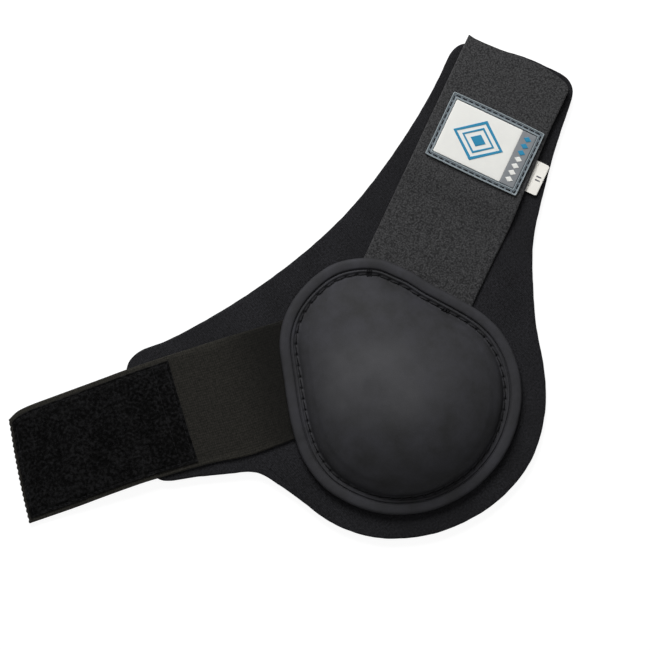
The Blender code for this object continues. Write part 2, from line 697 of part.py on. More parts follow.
def build_badge(strap, shift, lift, materials):
    """A frame with a recess for two fields, sewn through its border."""
    middle = Vector((BADGE_DISTANCE - FOLD_DISTANCE, BADGE_OFFSET)) - shift
    half = Vector((BADGE_HEIGHT / 2, BADGE_WIDTH / 2))
    low, high = middle - half, middle + half
    bottom = UPPER_STRAP_RAISED + UPPER_STRAP_THICKNESS + CLEARANCE - lift
    floor = bottom + BADGE_THICKNESS - BADGE_RECESS
    base = plate("badge_base", rounded_polygon(rectangle(low.x, high.x, low.y, high.y), BADGE_CORNER, 3),
                 bottom, BADGE_THICKNESS, materials["badge_rubber"], strap)
    x_low, x_high = low.x + BADGE_BORDER, high.x - BADGE_BORDER
    y_low, y_high = low.y + BADGE_BORDER, high.y - BADGE_BORDER
    recess = plate("badge_recess", rectangle(x_low, x_high, y_low, y_high), floor,
                   BADGE_RECESS + OVERRUN, None, strap, CUTTERS)
    cut(base, hide_cutter(recess))
    split = y_low + STRIP_WIDTH
    strip = rectangle(x_low + FIELD_GAP, x_high - FIELD_GAP, y_low + FIELD_GAP, split - FIELD_GAP / 2)
    panel = rectangle(x_low + FIELD_GAP, x_high - FIELD_GAP, split + FIELD_GAP / 2, y_high - FIELD_GAP)
    plate("badge_strip", strip, floor + CLEARANCE, FIELD_THICKNESS, materials["badge_strip"], strap)
    plate("badge_panel", panel, floor + CLEARANCE, FIELD_THICKNESS, materials["badge_panel"], strap)
    seam = BADGE_BORDER / 2
    loop = rectangle(low.x + seam, high.x - seam, low.y + seam, high.y - seam)
    height = bottom + BADGE_THICKNESS + CLEARANCE + BADGE_THREAD_RADIUS
    tube("badge_seam_thread", at_height(rounded_polygon(loop, BADGE_CORNER, 3), height),
         BADGE_THREAD_RADIUS, materials["thread"], strap)


def build_label(strap, shift, lift, material):
    """The ribbon's sewn tail under the strap's edge, and its folded end, which can be lifted."""
    edge = upper_strap_edge(LABEL_DISTANCE, -1) - shift
    top = UPPER_STRAP_RAISED - CLEARANCE - lift
    low, high = edge.x - LABEL_LENGTH / 2, edge.x + LABEL_LENGTH / 2
    tail = rectangle(low, high, edge.y - CLEARANCE / 2, edge.y + LABEL_TAIL)
    plate("size_label_tail", tail, top - LABEL_THICKNESS, LABEL_THICKNESS, material, strap)
    flap = make_empty("size_label_frame", strap, (edge.x, edge.y - 1.5 * CLEARANCE, top))
    half = LABEL_LENGTH / 2
    corners = rectangle(-half, half, -LABEL_REACH, 0.0)
    outline = (rounded_corner(corners[3], corners[0], corners[1], LABEL_CORNER, 3)
               + rounded_corner(corners[0], corners[1], corners[2], LABEL_CORNER, 3) + corners[2:])
    plate("size_label", outline, -LABEL_THICKNESS, LABEL_THICKNESS, material, flap)


def build_threads(material):
    """The two threads of the lock-stitched seam round the cup."""
    seam = inset(RIM, SEAM_INSET)
    tube("cup_seam_thread", at_height(seam, CHANNEL_FLOOR + CLEARANCE + TOP_THREAD_RADIUS),
         TOP_THREAD_RADIUS, material, FRAME)
    tube("cup_bobbin_thread", at_height(seam, BOBBIN_RADIUS + BOBBIN_LIFT), BOBBIN_RADIUS, material, FRAME)


def set_on_origin():
    """Moves the whole boot so that the middle of its footprint is the origin, standing on z = 0."""
    bpy.context.view_layer.update()
    graph = bpy.context.evaluated_depsgraph_get()
    points = []
    for obj in BOOT.objects:
        if obj.type != "EMPTY":
            mesh = obj.evaluated_get(graph).to_mesh()
            points += [obj.matrix_world @ vertex.co for vertex in mesh.vertices]
    low = Vector([min(point[axis] for point in points) for axis in range(3)])
    high = Vector([max(point[axis] for point in points) for axis in range(3)])
    FRAME.location = (-(low.x + high.x) / 2, -(low.y + high.y) / 2, -low.z)
    bpy.context.view_layer.update()
    for obj in BOOT.objects:
        if obj.type == "EMPTY":
            print(obj.name, [round(value, 5) for value in obj.matrix_world.translation])


clear_scene()
BOOT = make_collection("fetlock_boot")
CUTTERS = make_collection("cutters")
FRAME = make_empty("boot_frame", None, (0, 0, 0))
TOP_EDGE_CENTRE = Vector((0, TOP_EDGE_HEIGHT + TOP_EDGE_RADIUS))
RIM = rim_loop()
SHEET = sheet_outline()

cloth = {
    "inner_lining": make_material("lining_cloth", (0.020, 0.020, 0.023), 0.90),
    "neoprene_core": make_material("neoprene", (0.012, 0.012, 0.013), 0.75),
    "outer_jersey": make_material("jersey_cloth", (0.013, 0.013, 0.017), 0.90),
}
leather_look = make_material("cup_leather_look", (0.055, 0.055, 0.058), 0.48)
foam = make_material("cup_foam", (0.10, 0.10, 0.11), 0.90)
black_thread = make_material("black_thread", (0.008, 0.008, 0.008), 0.60)
webbing = make_material("upper_webbing", (0.042, 0.042, 0.042), 0.80)
hook_nylon = make_material("hook_nylon", (0.010, 0.010, 0.010), 0.55)
elastic = make_material("lower_elastic", (0.020, 0.018, 0.014), 0.85)
lower = {
    "elastic": elastic,
    "loops": make_material("loop_pile", (0.006, 0.006, 0.007), 0.95),
    "hooks": hook_nylon,
}
badge = {
    "badge_rubber": make_material("badge_rubber", (0.09, 0.12, 0.13), 0.55),
    "badge_panel": make_material("badge_panel_white", (0.78, 0.78, 0.74), 0.50),
    "badge_strip": make_material("badge_strip_grey", (0.19, 0.20, 0.21), 0.50),
    "thread": black_thread,
}
ribbon = make_material("label_ribbon", (0.88, 0.87, 0.83), 0.70)

upper_fold = FOLD_DISTANCE * direction_of(UPPER_WING_ANGLE)
lower_fold = FOLD_DISTANCE * direction_of(LOWER_WING_ANGLE)
upper_wing = make_empty("upper_wing_frame", FRAME, (*upper_fold, 0), UPPER_WING_ANGLE)
lower_wing = make_empty("lower_wing_frame", FRAME, (*lower_fold, 0), LOWER_WING_ANGLE)
wings = {"upper_wing": (upper_wing, UPPER_WING_ANGLE), "lower_wing": (lower_wing, LOWER_WING_ANGLE)}
build_sheet(wings, cloth)
build_pad(foam)
cup = build_cup_shell(leather_look)
upper_seat = make_empty("upper_strap_seat", FRAME, (*upper_fold, 0), UPPER_WING_ANGLE)
lower_seat = make_empty("lower_strap_seat", FRAME, (*lower_fold, 0), LOWER_WING_ANGLE)
build_strap_root("upper_strap_root", upper_strap_edge, upper_seat, UPPER_STRAP_THICKNESS, webbing, cup)
build_strap_root("lower_strap_root", lower_strap_edge, lower_seat, LOWER_STRAP_THICKNESS, elastic, cup)
build_strap_base("upper_strap_base", upper_strap_edge, upper_wing, UPPER_STRAP_THICKNESS, webbing)
build_strap_base("lower_strap_base", lower_strap_edge, lower_wing, LOWER_STRAP_THICKNESS, elastic)
build_threads(black_thread)
upper_strap, strap_shift, strap_lift = build_upper_strap(upper_wing, webbing)
build_upper_hooks(upper_strap, strap_shift, strap_lift, hook_nylon)
build_badge(upper_strap, strap_shift, strap_lift, badge)
build_label(upper_strap, strap_shift, strap_lift, ribbon)
build_lower_strap(lower_wing, lower)
set_on_origin()
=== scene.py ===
# %% [markdown]
# # A horse's fetlock boot
# The boot lies open and flat with its outer face up, the way it is photographed for a shop. Its pieces
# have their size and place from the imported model. This lesson dresses them: a laminated sheet, a
# moulded cup, a sewn seam, webbing, elastic, hook and loop, a rubber badge and a ribbon.

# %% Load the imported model
import json
import math

import bpy
import numpy as np
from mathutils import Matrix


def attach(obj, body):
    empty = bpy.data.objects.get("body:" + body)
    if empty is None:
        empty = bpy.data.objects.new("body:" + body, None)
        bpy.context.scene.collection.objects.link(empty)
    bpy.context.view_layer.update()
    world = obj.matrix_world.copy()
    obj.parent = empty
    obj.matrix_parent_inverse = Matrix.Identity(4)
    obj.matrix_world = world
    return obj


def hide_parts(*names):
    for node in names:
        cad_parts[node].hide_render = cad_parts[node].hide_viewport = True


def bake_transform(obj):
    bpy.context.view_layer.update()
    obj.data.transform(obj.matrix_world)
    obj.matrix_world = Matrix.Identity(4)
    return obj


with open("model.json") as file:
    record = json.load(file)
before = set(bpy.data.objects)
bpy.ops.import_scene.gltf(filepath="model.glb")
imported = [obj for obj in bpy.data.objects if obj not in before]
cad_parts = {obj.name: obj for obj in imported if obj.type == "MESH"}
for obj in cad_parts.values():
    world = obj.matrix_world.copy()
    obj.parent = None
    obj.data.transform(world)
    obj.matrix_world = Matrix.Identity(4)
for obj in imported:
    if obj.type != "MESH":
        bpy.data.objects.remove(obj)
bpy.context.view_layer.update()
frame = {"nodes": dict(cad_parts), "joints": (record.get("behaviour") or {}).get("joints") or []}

JOINTS = {joint["name"]: joint for joint in frame["joints"]}
MM = 0.001
UP = np.array([0.0, 0.0, 1.0])

# %% [markdown]
# ## Camera
# The photograph looks straight down on the boot, turned so that the leg's direction leans to the
# right. A long lens from over a metre keeps the raised cup from leaning outwards, and, unlike a
# parallel view, it also works for the other angles.

# %% Camera
FRAME_WIDTH = 318.6 * MM
FRAME_PIXELS = 650
LENS = 135.0
SENSOR = 36.0
VIEW_TURN = math.radians(-40)
VIEW_CENTRE = np.array([0.9, 27.2]) * MM
VIEW_LEVEL = 6 * MM

camera_data = bpy.data.cameras.new("camera")
camera_data.lens = LENS
camera_data.sensor_width = SENSOR
camera = bpy.data.objects.new("camera", camera_data)
camera.location = (*VIEW_CENTRE, VIEW_LEVEL + FRAME_WIDTH * LENS / SENSOR)
camera.rotation_euler = (0, 0, VIEW_TURN)
bpy.context.scene.collection.objects.link(camera)
bpy.context.scene.camera = camera


def seen_at(pixel):
    """The place on the boot's plan that the camera sees at a pixel of the photograph."""
    right, up = (np.array(pixel) - FRAME_PIXELS / 2) * [1, -1] * FRAME_WIDTH / FRAME_PIXELS
    cos, sin = math.cos(VIEW_TURN), math.sin(VIEW_TURN)
    return VIEW_CENTRE + [right * cos - up * sin, right * sin + up * cos]


print("camera height in mm:", round(camera.location.z / MM))

# %% [markdown]
# ## Nodes and colours
# A colour is written as it looks on a screen, and one function turns it to the linear values that the
# renderer adds up. Every material is a small network of nodes, so one function adds a node with its
# settings and links. Patterns read the place that a point has on the flat piece, kept with each
# point as an attribute, so they stay on the cloth when it bends.

# %% Node helpers
PLACE = "own_place"


def linear(code):
    """sRGB hex to linear: c / 12.92 below 0.04045, and ((c + 0.055) / 1.055) ^ 2.4 above it."""
    shares = [int(code[i:i + 2], 16) / 255 for i in (1, 3, 5)]
    return (*(c / 12.92 if c <= 0.04045 else ((c + 0.055) / 1.055) ** 2.4 for c in shares), 1.0)


def add(tree, kind, values=None, links=None, **settings):
    """Adds a node: its settings, the values of its loose sockets, and the sockets that others feed."""
    node = tree.nodes.new("ShaderNode" + kind)
    for name, value in settings.items():
        setattr(node, name, value)
    for socket, value in (values or {}).items():
        node.inputs[socket].default_value = value
    for socket, source in (links or {}).items():
        tree.links.new(source, node.inputs[socket])
    return node


def new_material(name, colour, roughness, **constants):
    """A material with its shader's plain values set; returns it with its tree, shader and place."""
    material = bpy.data.materials.new(name)
    material.use_nodes = True
    tree = material.node_tree
    shader = tree.nodes["Principled BSDF"]
    shader.inputs["Base Color"].default_value = linear(colour)
    shader.inputs["Roughness"].default_value = roughness
    for socket, value in constants.items():
        shader.inputs[socket.replace("_", " ")].default_value = value
    place = add(tree, "Attribute", attribute_name=PLACE, attribute_type="GEOMETRY").outputs["Vector"]
    return material, tree, shader, place


# %% [markdown]
# ## Floor and light
# A plain pale floor lies under one soft lamp, which stands beyond the top of the picture at half
# height. A weak lamp right above softens the shadows, and a weaker one fills them from the left. The
# floor reflects like pale card. To the camera it glows as well, so that it comes out white and keeps
# only a faint shadow of the boot, as a picture for a shop does. It hangs from the two wings' hinges:
# when a wing is wrapped down round the leg, the floor goes down with it, as if the boot were lifted
# off the table to put it on. From below the floor is clear, so the lining can be looked at, and a lamp
# down there lights only what lies close to the floor.

# %% Floor
# FLOOR_CARD is how much light the floor gives back to the boot. SEEN_CARD, its paint, and SEEN_LIFT,
# its glow, are what the camera sees.
FLOOR_HALF = 4.0
FLOOR_CARD = 0.80
SEEN_CARD = 0.24
SEEN_LIFT = 0.90
LIT_FROM_BELOW = 45 * MM

floor_mesh = bpy.data.meshes.new("floor")
floor_corners = FLOOR_HALF * np.array([(-1, -1, 0), (1, -1, 0), (1, 1, 0), (-1, 1, 0)])
floor_mesh.from_pydata(floor_corners.tolist(), [], [(0, 1, 2, 3)])
floor = bpy.data.objects.new("floor", floor_mesh)
bpy.context.scene.collection.objects.link(floor)

card = bpy.data.materials.new("pale_card")
card.use_nodes = True
card_tree = card.node_tree
card_tree.nodes.clear()
path = add(card_tree, "LightPath")
side = add(card_tree, "NewGeometry")
matt = add(card_tree, "BsdfDiffuse", {"Color": (FLOOR_CARD, FLOOR_CARD, FLOOR_CARD, 1)})
shade = add(card_tree, "BsdfDiffuse", {"Color": (SEEN_CARD, SEEN_CARD, SEEN_CARD, 1)})
glow = add(card_tree, "Emission", {"Strength": SEEN_LIFT})
brighter = add(card_tree, "AddShader", links={0: shade.outputs[0], 1: glow.outputs[0]})
seen = add(card_tree, "MixShader", links={0: path.outputs["Is Camera Ray"], 1: matt.outputs[0],
                                          2: brighter.outputs[0]})
clear = add(card_tree, "BsdfTransparent")
near = add(card_tree, "Math", {1: LIT_FROM_BELOW}, {0: path.outputs["Ray Length"]}, operation="LESS_THAN")
lamp_way = add(card_tree, "Math", links={0: near.outputs[0], 1: path.outputs["Is Shadow Ray"]},
               operation="MULTIPLY")
open_way = add(card_tree, "Math", links={0: lamp_way.outputs[0], 1: side.outputs["Backfacing"]},
               operation="MAXIMUM")
one_sided = add(card_tree, "MixShader", links={0: open_way.outputs[0], 1: seen.outputs[0],
                                               2: clear.outputs[0]})
add(card_tree, "OutputMaterial", links={"Surface": one_sided.outputs[0]})
floor_mesh.materials.append(card)
print("floor in m:", 2 * FLOOR_HALF)

# %% The floor follows the wings
HANGER_OUT = 135 * MM

for wing in ("upper_wing", "lower_wing"):
    joint = JOINTS[wing + "_wrap"]
    outward = np.array([joint["axis"][1], -joint["axis"][0], 0.0])
    hanger = bpy.data.objects.new(wing + "_floor_hanger", None)
    hanger.location = np.array(joint["pos_m"]) + HANGER_OUT * outward
    bpy.context.scene.collection.objects.link(hanger)
    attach(hanger, wing)
    follow = floor.constraints.new("COPY_LOCATION")
    follow.target = hanger
    follow.use_x = follow.use_y = False
    follow.use_offset = True

# %% Light
# For each lamp: where it stands and how wide it is, in metres, and its power in watts.
WORLD_LEVEL = 0.10
LAMPS = {
    "key": ((0.38, 0.76, 0.72), 0.55, 13.3),
    "above": ((0.06, -0.15, 1.6), 1.2, 3.4),
    "fill": ((-1.2, -0.5, 0.9), 1.0, 1.2),
    "below": ((0.1, 0.2, -1.2), 0.9, 13.0),
}

world = bpy.data.worlds.new("studio")
bpy.context.scene.world = world
world.use_nodes = True
background = world.node_tree.nodes["Background"]
around = add(world.node_tree, "LightPath")
level = add(world.node_tree, "Mix", {"A": WORLD_LEVEL, "B": 1.0},
            {"Factor": around.outputs["Is Camera Ray"]}, data_type="FLOAT")
world.node_tree.links.new(level.outputs[0], background.inputs["Strength"])
background.inputs["Color"].default_value = (1, 1, 1, 1)

for name, (position, width, power) in LAMPS.items():
    lamp_data = bpy.data.lights.new(name, "AREA")
    lamp_data.size = width
    lamp_data.energy = power
    lamp = bpy.data.objects.new(name, lamp_data)
    lamp.location = position
    tilt = math.acos(position[2] / np.linalg.norm(position))
    lamp.rotation_euler = (tilt, 0, math.atan2(position[1], position[0]) + math.pi / 2)
    bpy.context.scene.collection.objects.link(lamp)
bpy.context.scene.view_settings.view_transform = "Standard"
print("lamps:", len(LAMPS))

# %% [markdown]
# ## Meshes from arrays
# Each piece is a grid of points worked out at once with numpy, and a list of faces that joins them.
# Writing whole arrays into the mesh is quick, and a formula keeps every edge exactly where its
# neighbour expects it.

# %% Faces of a grid
def smoothstep(share):
    """3t^2 - 2t^3: from 0 to 1, level at both ends."""
    t = np.clip(share, 0.0, 1.0)
    return t * t * (3 - 2 * t)


def quads(rows, columns, closed=False):
    """The four corner numbers of each face of a grid; closed joins the last column to the first."""
    i, j = np.meshgrid(np.arange(rows - 1), np.arange(columns if closed else columns - 1), indexing="ij")
    k = (j + 1) % columns
    corners = (i * columns + j, i * columns + k, (i + 1) * columns + k, (i + 1) * columns + j)
    return np.stack(corners, -1).reshape(-1, 4)


def fan(ring, pole):
    """Triangles from a closed ring of point numbers to one point."""
    return np.stack([ring, np.roll(ring, -1), np.full(len(ring), pole)], -1)


# %% A mesh from arrays
def mesh_piece(name, points, faces, place=None, sharp=40):
    """A closed mesh object from an array of points, in metres, and arrays of faces.

    Its signed volume, the sum of a . (b x c) / 6 over its triangles, is negative where the faces
    point inwards, and then they are turned round.
    """
    points = np.asarray(points, float).reshape(-1, 3)
    faces = [np.asarray(face, int) for face in faces if len(face)]
    triangles = np.concatenate([face[:, :3] for face in faces] + [face[:, [0, 2, 3]] for face in faces
                                                                  if face.shape[1] == 4])
    a, b, c = (points[triangles[:, i]] for i in range(3))
    if (a * np.cross(b, c)).sum() < 0:
        faces = [face[:, ::-1] for face in faces]
    corners = np.concatenate([face.ravel() for face in faces])
    sizes = np.concatenate([np.full(len(face), face.shape[1]) for face in faces])
    mesh = bpy.data.meshes.new(name)
    mesh.vertices.add(len(points))
    mesh.vertices.foreach_set("co", points.astype(np.float32).ravel())
    mesh.loops.add(len(corners))
    mesh.loops.foreach_set("vertex_index", corners.astype(np.int32))
    mesh.polygons.add(len(sizes))
    mesh.polygons.foreach_set("loop_start", (np.cumsum(sizes) - sizes).astype(np.int32))
    mesh.update(calc_edges=True)
    mesh.validate()
    mesh.shade_smooth()
    mesh.set_sharp_from_angle(angle=math.radians(sharp))
    own = points if place is None else np.asarray(place, float).reshape(-1, 3)
    attribute = mesh.attributes.new(PLACE, "FLOAT_VECTOR", "POINT")
    attribute.data.foreach_set("vector", own.astype(np.float32).ravel())
    piece = bpy.data.objects.new(name, mesh)
    bpy.context.scene.collection.objects.link(piece)
    print(f"{name}: {len(triangles)} triangles")
    return piece


def together(*bodies):
    """Several (points, faces) bodies as one: each body's face numbers move up past the points before."""
    points, faces, start = [], [], 0
    for body_points, body_faces in bodies:
        body_points = np.asarray(body_points).reshape(-1, 3)
        points.append(body_points)
        faces += [np.asarray(face) + start for face in body_faces]
        start += len(body_points)
    return np.concatenate(points), faces


def dress(piece, material, slot, *nodes):
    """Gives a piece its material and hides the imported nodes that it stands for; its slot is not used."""
    piece.data.materials.append(material)
    if nodes:
        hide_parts(*nodes)
    return piece


# %% Uneven heights, and threads
LATTICE = (211, 197)


def field(x, y, size, seed):
    """Smooth random values from -1 to 1: seeded values on a lattice, eased between its points."""
    lattice = np.random.default_rng(seed).uniform(-1, 1, LATTICE)
    u, v = x / size, y / size
    i, j = np.floor(u).astype(int), np.floor(v).astype(int)
    a, b = smoothstep(u - i), smoothstep(v - j)
    rows = [[lattice[(i + p) % LATTICE[0], (j + q) % LATTICE[1]] for p in (0, 1)] for q in (0, 1)]
    low, high = (row[0] * (1 - a) + row[1] * a for row in rows)
    return low * (1 - b) + high * b


def tubes(paths, radius, sides, side=None):
    """Round threads along many paths at once, as one body.

    paths is (threads, points, 3). Round each point lies a ring of radius r, square to the path:
    p + r (cos a * s + sin a * n), with s to the side and n square to s and the path. A point closes
    each end. Without a side of its own, s is level.
    """
    paths = np.asarray(paths, float)
    threads, length = paths.shape[:2]
    ahead = np.gradient(paths, axis=1)
    ahead /= np.linalg.norm(ahead, axis=2, keepdims=True)
    side = np.cross(ahead, UP) if side is None else np.broadcast_to(side, paths.shape)
    side = side / np.linalg.norm(side, axis=2, keepdims=True)
    normal = np.cross(side, ahead)
    normal /= np.linalg.norm(normal, axis=2, keepdims=True)
    angle = np.arange(sides) / sides * 2 * math.pi
    radii = np.broadcast_to(radius, (threads, length))[:, :, None, None]
    rings = paths[:, :, None] + radii * (np.cos(angle)[:, None] * side[:, :, None]
                                         + np.sin(angle)[:, None] * normal[:, :, None])
    body = np.concatenate([rings.reshape(threads, -1, 3), paths[:, :1], paths[:, -1:]], 1)
    count = body.shape[1]
    ring = np.arange(sides)
    wall = quads(length, sides, closed=True)
    ends = np.concatenate([fan(ring[::-1], count - 2), fan((length - 1) * sides + ring, count - 1)])
    starts = (np.arange(threads) * count)[:, None, None]
    return body.reshape(-1, 3), [(wall + starts).reshape(-1, 4), (ends + starts).reshape(-1, 3)]


# %% [markdown]
# ## Two wings, two frames
# The sheet folds round the leg along two lines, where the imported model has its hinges. Everything on
# a wing is worked out in the wing's own frame: x runs out along the wing from the fold, y across it.

# %% Wing frames
FOLD_REACH = 12 * MM


def wing_frame(name):
    """Origin on the fold line, direction out along the wing, and direction across it."""
    joint = JOINTS[name + "_wrap"]
    across = np.array(joint["axis"])
    return np.array(joint["pos_m"]) * [1, 1, 0], np.array([across[1], -across[0], 0.0]), across


WINGS = {name: wing_frame(name) for name in ("upper_wing", "lower_wing")}


def onto_boot(wing, x, y, z):
    """Places in a wing's frame, as places on the boot: origin + x along + y across + z up."""
    origin, along, across = WINGS[wing]
    x, y, z = np.broadcast_arrays(x, y, z)
    return origin + x[..., None] * along + y[..., None] * across + z[..., None] * UP


def in_wing(wing, points):
    """The reverse: how far out along the wing and how far across it each point of the plan lies."""
    origin, along, across = WINGS[wing]
    offset = points[..., :2] - origin[:2]
    return np.stack([offset @ along[:2], offset @ across[:2]], -1)


def bend(piece, wing, near, far):
    """Works out where a stretch of the wing begins and ends, and bakes the piece's place into its points; it
    does not bend it.
    """
    start, end = (onto_boot(wing, distance, 0.0, 0.0).tolist() for distance in (near, far))
    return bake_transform(piece)


def corners_of(node):
    """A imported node's distinct points."""
    co = np.zeros(len(frame["nodes"][node].data.vertices) * 3)
    frame["nodes"][node].data.vertices.foreach_get("co", co)
    return np.unique(np.round(co.reshape(-1, 3), 6), axis=0)


def round_about(points, centre):
    """Points of a plan in the order of their angle about a centre."""
    offset = points - centre
    return points[np.argsort(np.arctan2(offset[:, 1], offset[:, 0]))]


for name, (origin, *_) in WINGS.items():
    print(name, "fold at", (origin[:2] / MM).round(1), "mm")

# %% [markdown]
# ## The seam line and the sheet's outline
# The cup is sewn on along one smooth closed line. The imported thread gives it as 64 places, and a sum of
# waves through them gives any number of places between. The sheet's outline comes from the packed
# plates. It is evened out over a few millimetres, because scissors cut a curve, not corners. At ten
# places it is then moved out or in by up to 3 mm, to follow the photograph, and it wavers a little, as
# a cut in foam does.

# %% Seam line
SEAM_KNOTS = 64
FINE_PLACES = 4096
STITCH_PITCH = 5.5 * MM
SAMPLES_PER_STITCH = 12


def seam_knots():
    """The middle of each cluster of the seam thread's points, in order round the cup."""
    thread = corners_of("cup_seam_thread")[:, :2]
    centre = thread.mean(0)
    ordered = round_about(thread, centre)
    offset = ordered - centre
    angle = np.arctan2(offset[:, 1], offset[:, 0])
    gaps = np.diff(np.append(angle, angle[0] + 2 * math.pi))
    ends = np.sort(np.argsort(gaps)[-SEAM_KNOTS:])
    groups = np.split(np.roll(ordered, -(ends[0] + 1), axis=0), np.diff(ends).cumsum())
    return np.array([group.mean(0) for group in groups])


def smooth_round(knots, count):
    """A closed line through the knots as a sum of waves, at this many even shares of the way round."""
    waves = np.fft.fft(knots[:, 0] + 1j * knots[:, 1])
    turns = np.fft.fftfreq(len(knots), 1 / len(knots))
    share = np.arange(count)[:, None] / count
    line = (waves * np.exp(2j * math.pi * turns * share)).sum(1) / len(knots)
    return np.stack([line.real, line.imag], -1)


def even_round(line, count):
    """A closed line again, as this many places at even distances."""
    closed = np.vstack([line, line[:1]])
    length = np.append(0, np.linalg.norm(np.diff(closed, axis=0), axis=1).cumsum())
    goal = np.arange(count) / count * length[-1]
    return np.stack([np.interp(goal, length, closed[:, axis]) for axis in (0, 1)], -1), length[-1]


def inward(line):
    """Unit directions square to a closed anticlockwise line, pointing in."""
    along = np.roll(line, -1, axis=0) - np.roll(line, 1, axis=0)
    along /= np.linalg.norm(along, axis=1, keepdims=True)
    return np.stack([-along[:, 1], along[:, 0]], -1)


fine_seam, SEAM_LENGTH = even_round(smooth_round(seam_knots(), FINE_PLACES), FINE_PLACES)
STITCHES = round(SEAM_LENGTH / STITCH_PITCH)
COLUMNS = STITCHES * SAMPLES_PER_STITCH
SEAM, _ = even_round(fine_seam, COLUMNS)
SEAM_INWARD = inward(SEAM)
SEAM_STEP = SEAM_LENGTH / COLUMNS
APEX = corners_of("cup_shell")[corners_of("cup_shell")[:, 2].argmax(), :2]
print("seam length in mm:", round(SEAM_LENGTH / MM, 1), "stitches:", STITCHES)

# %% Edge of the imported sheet
JERSEY_FOOT = 4.7 * MM
ON_FOLD = 0.5 * MM


def free_edge(wing):
    """The wing plate's own edge, from one end of the fold to the other, anticlockwise."""
    plan = in_wing(wing, corners_of("outer_jersey_" + wing))
    plan = np.unique(plan.round(6), axis=0)
    ordered = round_about(plan, plan.mean(0))
    at_fold = np.abs(ordered[:, 0]) < ON_FOLD
    first = int(np.flatnonzero(at_fold & ~np.roll(at_fold, -1))[0])
    ordered = np.roll(ordered, -first, axis=0)
    last = int(np.flatnonzero(np.abs(ordered[:, 0]) < ON_FOLD)[1])
    return onto_boot(wing, *ordered[:last + 1].T, 0.0)[:, :2]


def from_apex(points):
    """The distance and direction of each place from under the dome's apex."""
    offset = points - APEX
    return np.linalg.norm(offset, axis=-1), np.arctan2(offset[..., 1], offset[..., 0])


def reach(line, turn):
    """How far from the apex a closed line lies in each direction."""
    distance, own_turn = from_apex(line)
    order = np.argsort(own_turn)
    return np.interp(turn, own_turn[order], distance[order], period=2 * math.pi)


def whole_outline():
    """The sheet's edge: lobe, upper wing, top edge, lower wing, in the order of their direction."""
    upper, lower = free_edge("upper_wing"), free_edge("lower_wing")
    middle = corners_of("outer_jersey_center")
    middle = np.unique(middle[middle[:, 2] < JERSEY_FOOT + 0.1 * MM][:, :2], axis=0)
    distance, turn = from_apex(middle)
    free = distance > reach(SEAM, turn)
    for wing in WINGS:
        free &= in_wing(wing, middle)[:, 0] < -1 * MM
    middle = middle[free]
    start = from_apex(lower[-1])[1]
    turn = (from_apex(middle)[1] - start) % (2 * math.pi)
    middle, turn = middle[np.argsort(turn)], np.sort(turn)
    in_lobe = turn < (from_apex(upper[0])[1] - start) % (2 * math.pi)
    return np.concatenate([middle[in_lobe], upper, middle[~in_lobe], lower])


# %% Outline
# Each fitted place: its pixel in the photograph, how far out the edge moves there, and how widely.
OUTLINE_STEP = 1 * MM
SCISSOR_CURVE = 4.5 * MM
ROUND_CORNER = (131, 352)
ROUND_SPREAD = 15 * MM
FITTED_PLACES = [((131, 357), 1.5 * MM, 12 * MM), ((185, 335), 0.9 * MM, 32 * MM),
                 ((240, 468), 1.9 * MM, 18 * MM), ((351, 527), 1.95 * MM, 36 * MM),
                 ((526, 463), 1.3 * MM, 28 * MM), ((527, 290), 2.9 * MM, 26 * MM),
                 ((345, 212), -0.8 * MM, 30 * MM), ((246, 296), 0.5 * MM, 30 * MM),
                 ((522, 61), 2.9 * MM, 20 * MM), ((554, 155), -0.7 * MM, 20 * MM)]
CUT_WAVER = 0.035 * MM


def evened(line, spread):
    """Each place of a closed line as the mean of its neighbours, weighed by a bell curve.

    What that takes off is evened in the same way and put back, so that round corners keep their size.
    """
    steps = np.arange(-4 * spread, 4 * spread + OUTLINE_STEP, OUTLINE_STEP)
    weights = np.exp(-0.5 * (steps / spread) ** 2)
    weights /= weights.sum()
    half = len(steps) // 2

    def mean(values):
        """The weighed mean round each place."""
        wrapped = np.concatenate([values[-half:], values, values[:half]])
        return np.stack([np.convolve(wrapped[:, axis], weights, "valid") for axis in (0, 1)], -1)

    once = mean(line)[:len(line)]
    return once + mean(line - once)[:len(line)]


def near_to(line, pixel, spread):
    """1 at a place of the photograph, and less away from it as a bell curve."""
    away = np.linalg.norm(line - seen_at(pixel), axis=1, keepdims=True)
    return np.exp(-((away / spread) ** 2))


rough_outline = whole_outline()
_, outline_length = even_round(rough_outline, 8)
OUTLINE, _ = even_round(rough_outline, round(outline_length / OUTLINE_STEP))
OUTLINE = evened(OUTLINE, SCISSOR_CURVE)
rounder = near_to(OUTLINE, ROUND_CORNER, ROUND_SPREAD)
OUTLINE = OUTLINE * (1 - rounder) + evened(OUTLINE, 2 * SCISSOR_CURVE) * rounder
for pixel, outward, spread in FITTED_PLACES:
    OUTLINE = OUTLINE - inward(OUTLINE) * outward * near_to(OUTLINE, pixel, spread)
cut_share = np.arange(len(OUTLINE)) / len(OUTLINE) * 2 * math.pi
waver = np.sin(61 * cut_share) + 0.7 * np.sin(97 * cut_share + 2) + 0.5 * np.sin(151 * cut_share + 1)
OUTLINE = OUTLINE + inward(OUTLINE) * (waver * CUT_WAVER)[:, None]
OUTLINE_INWARD = inward(OUTLINE)
print("outline length in mm:", round(outline_length / MM))

# %% [markdown]
# ## The laminated sheet
# A boot like this is cut from one sheet: foam rubber with knitted nylon glued on both faces. Here each
# layer is a closed body of its own, and each is cut at the two folds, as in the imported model. A layer is
# a stack of rings: out from the middle over its top, round its cut edge, and back below. The knife
# leaves the foam a little short of the two cloths, and the cloths' edges are slightly rounded over.
# Cloth simulation isn't needed: the sheet is stiff and lies flat.

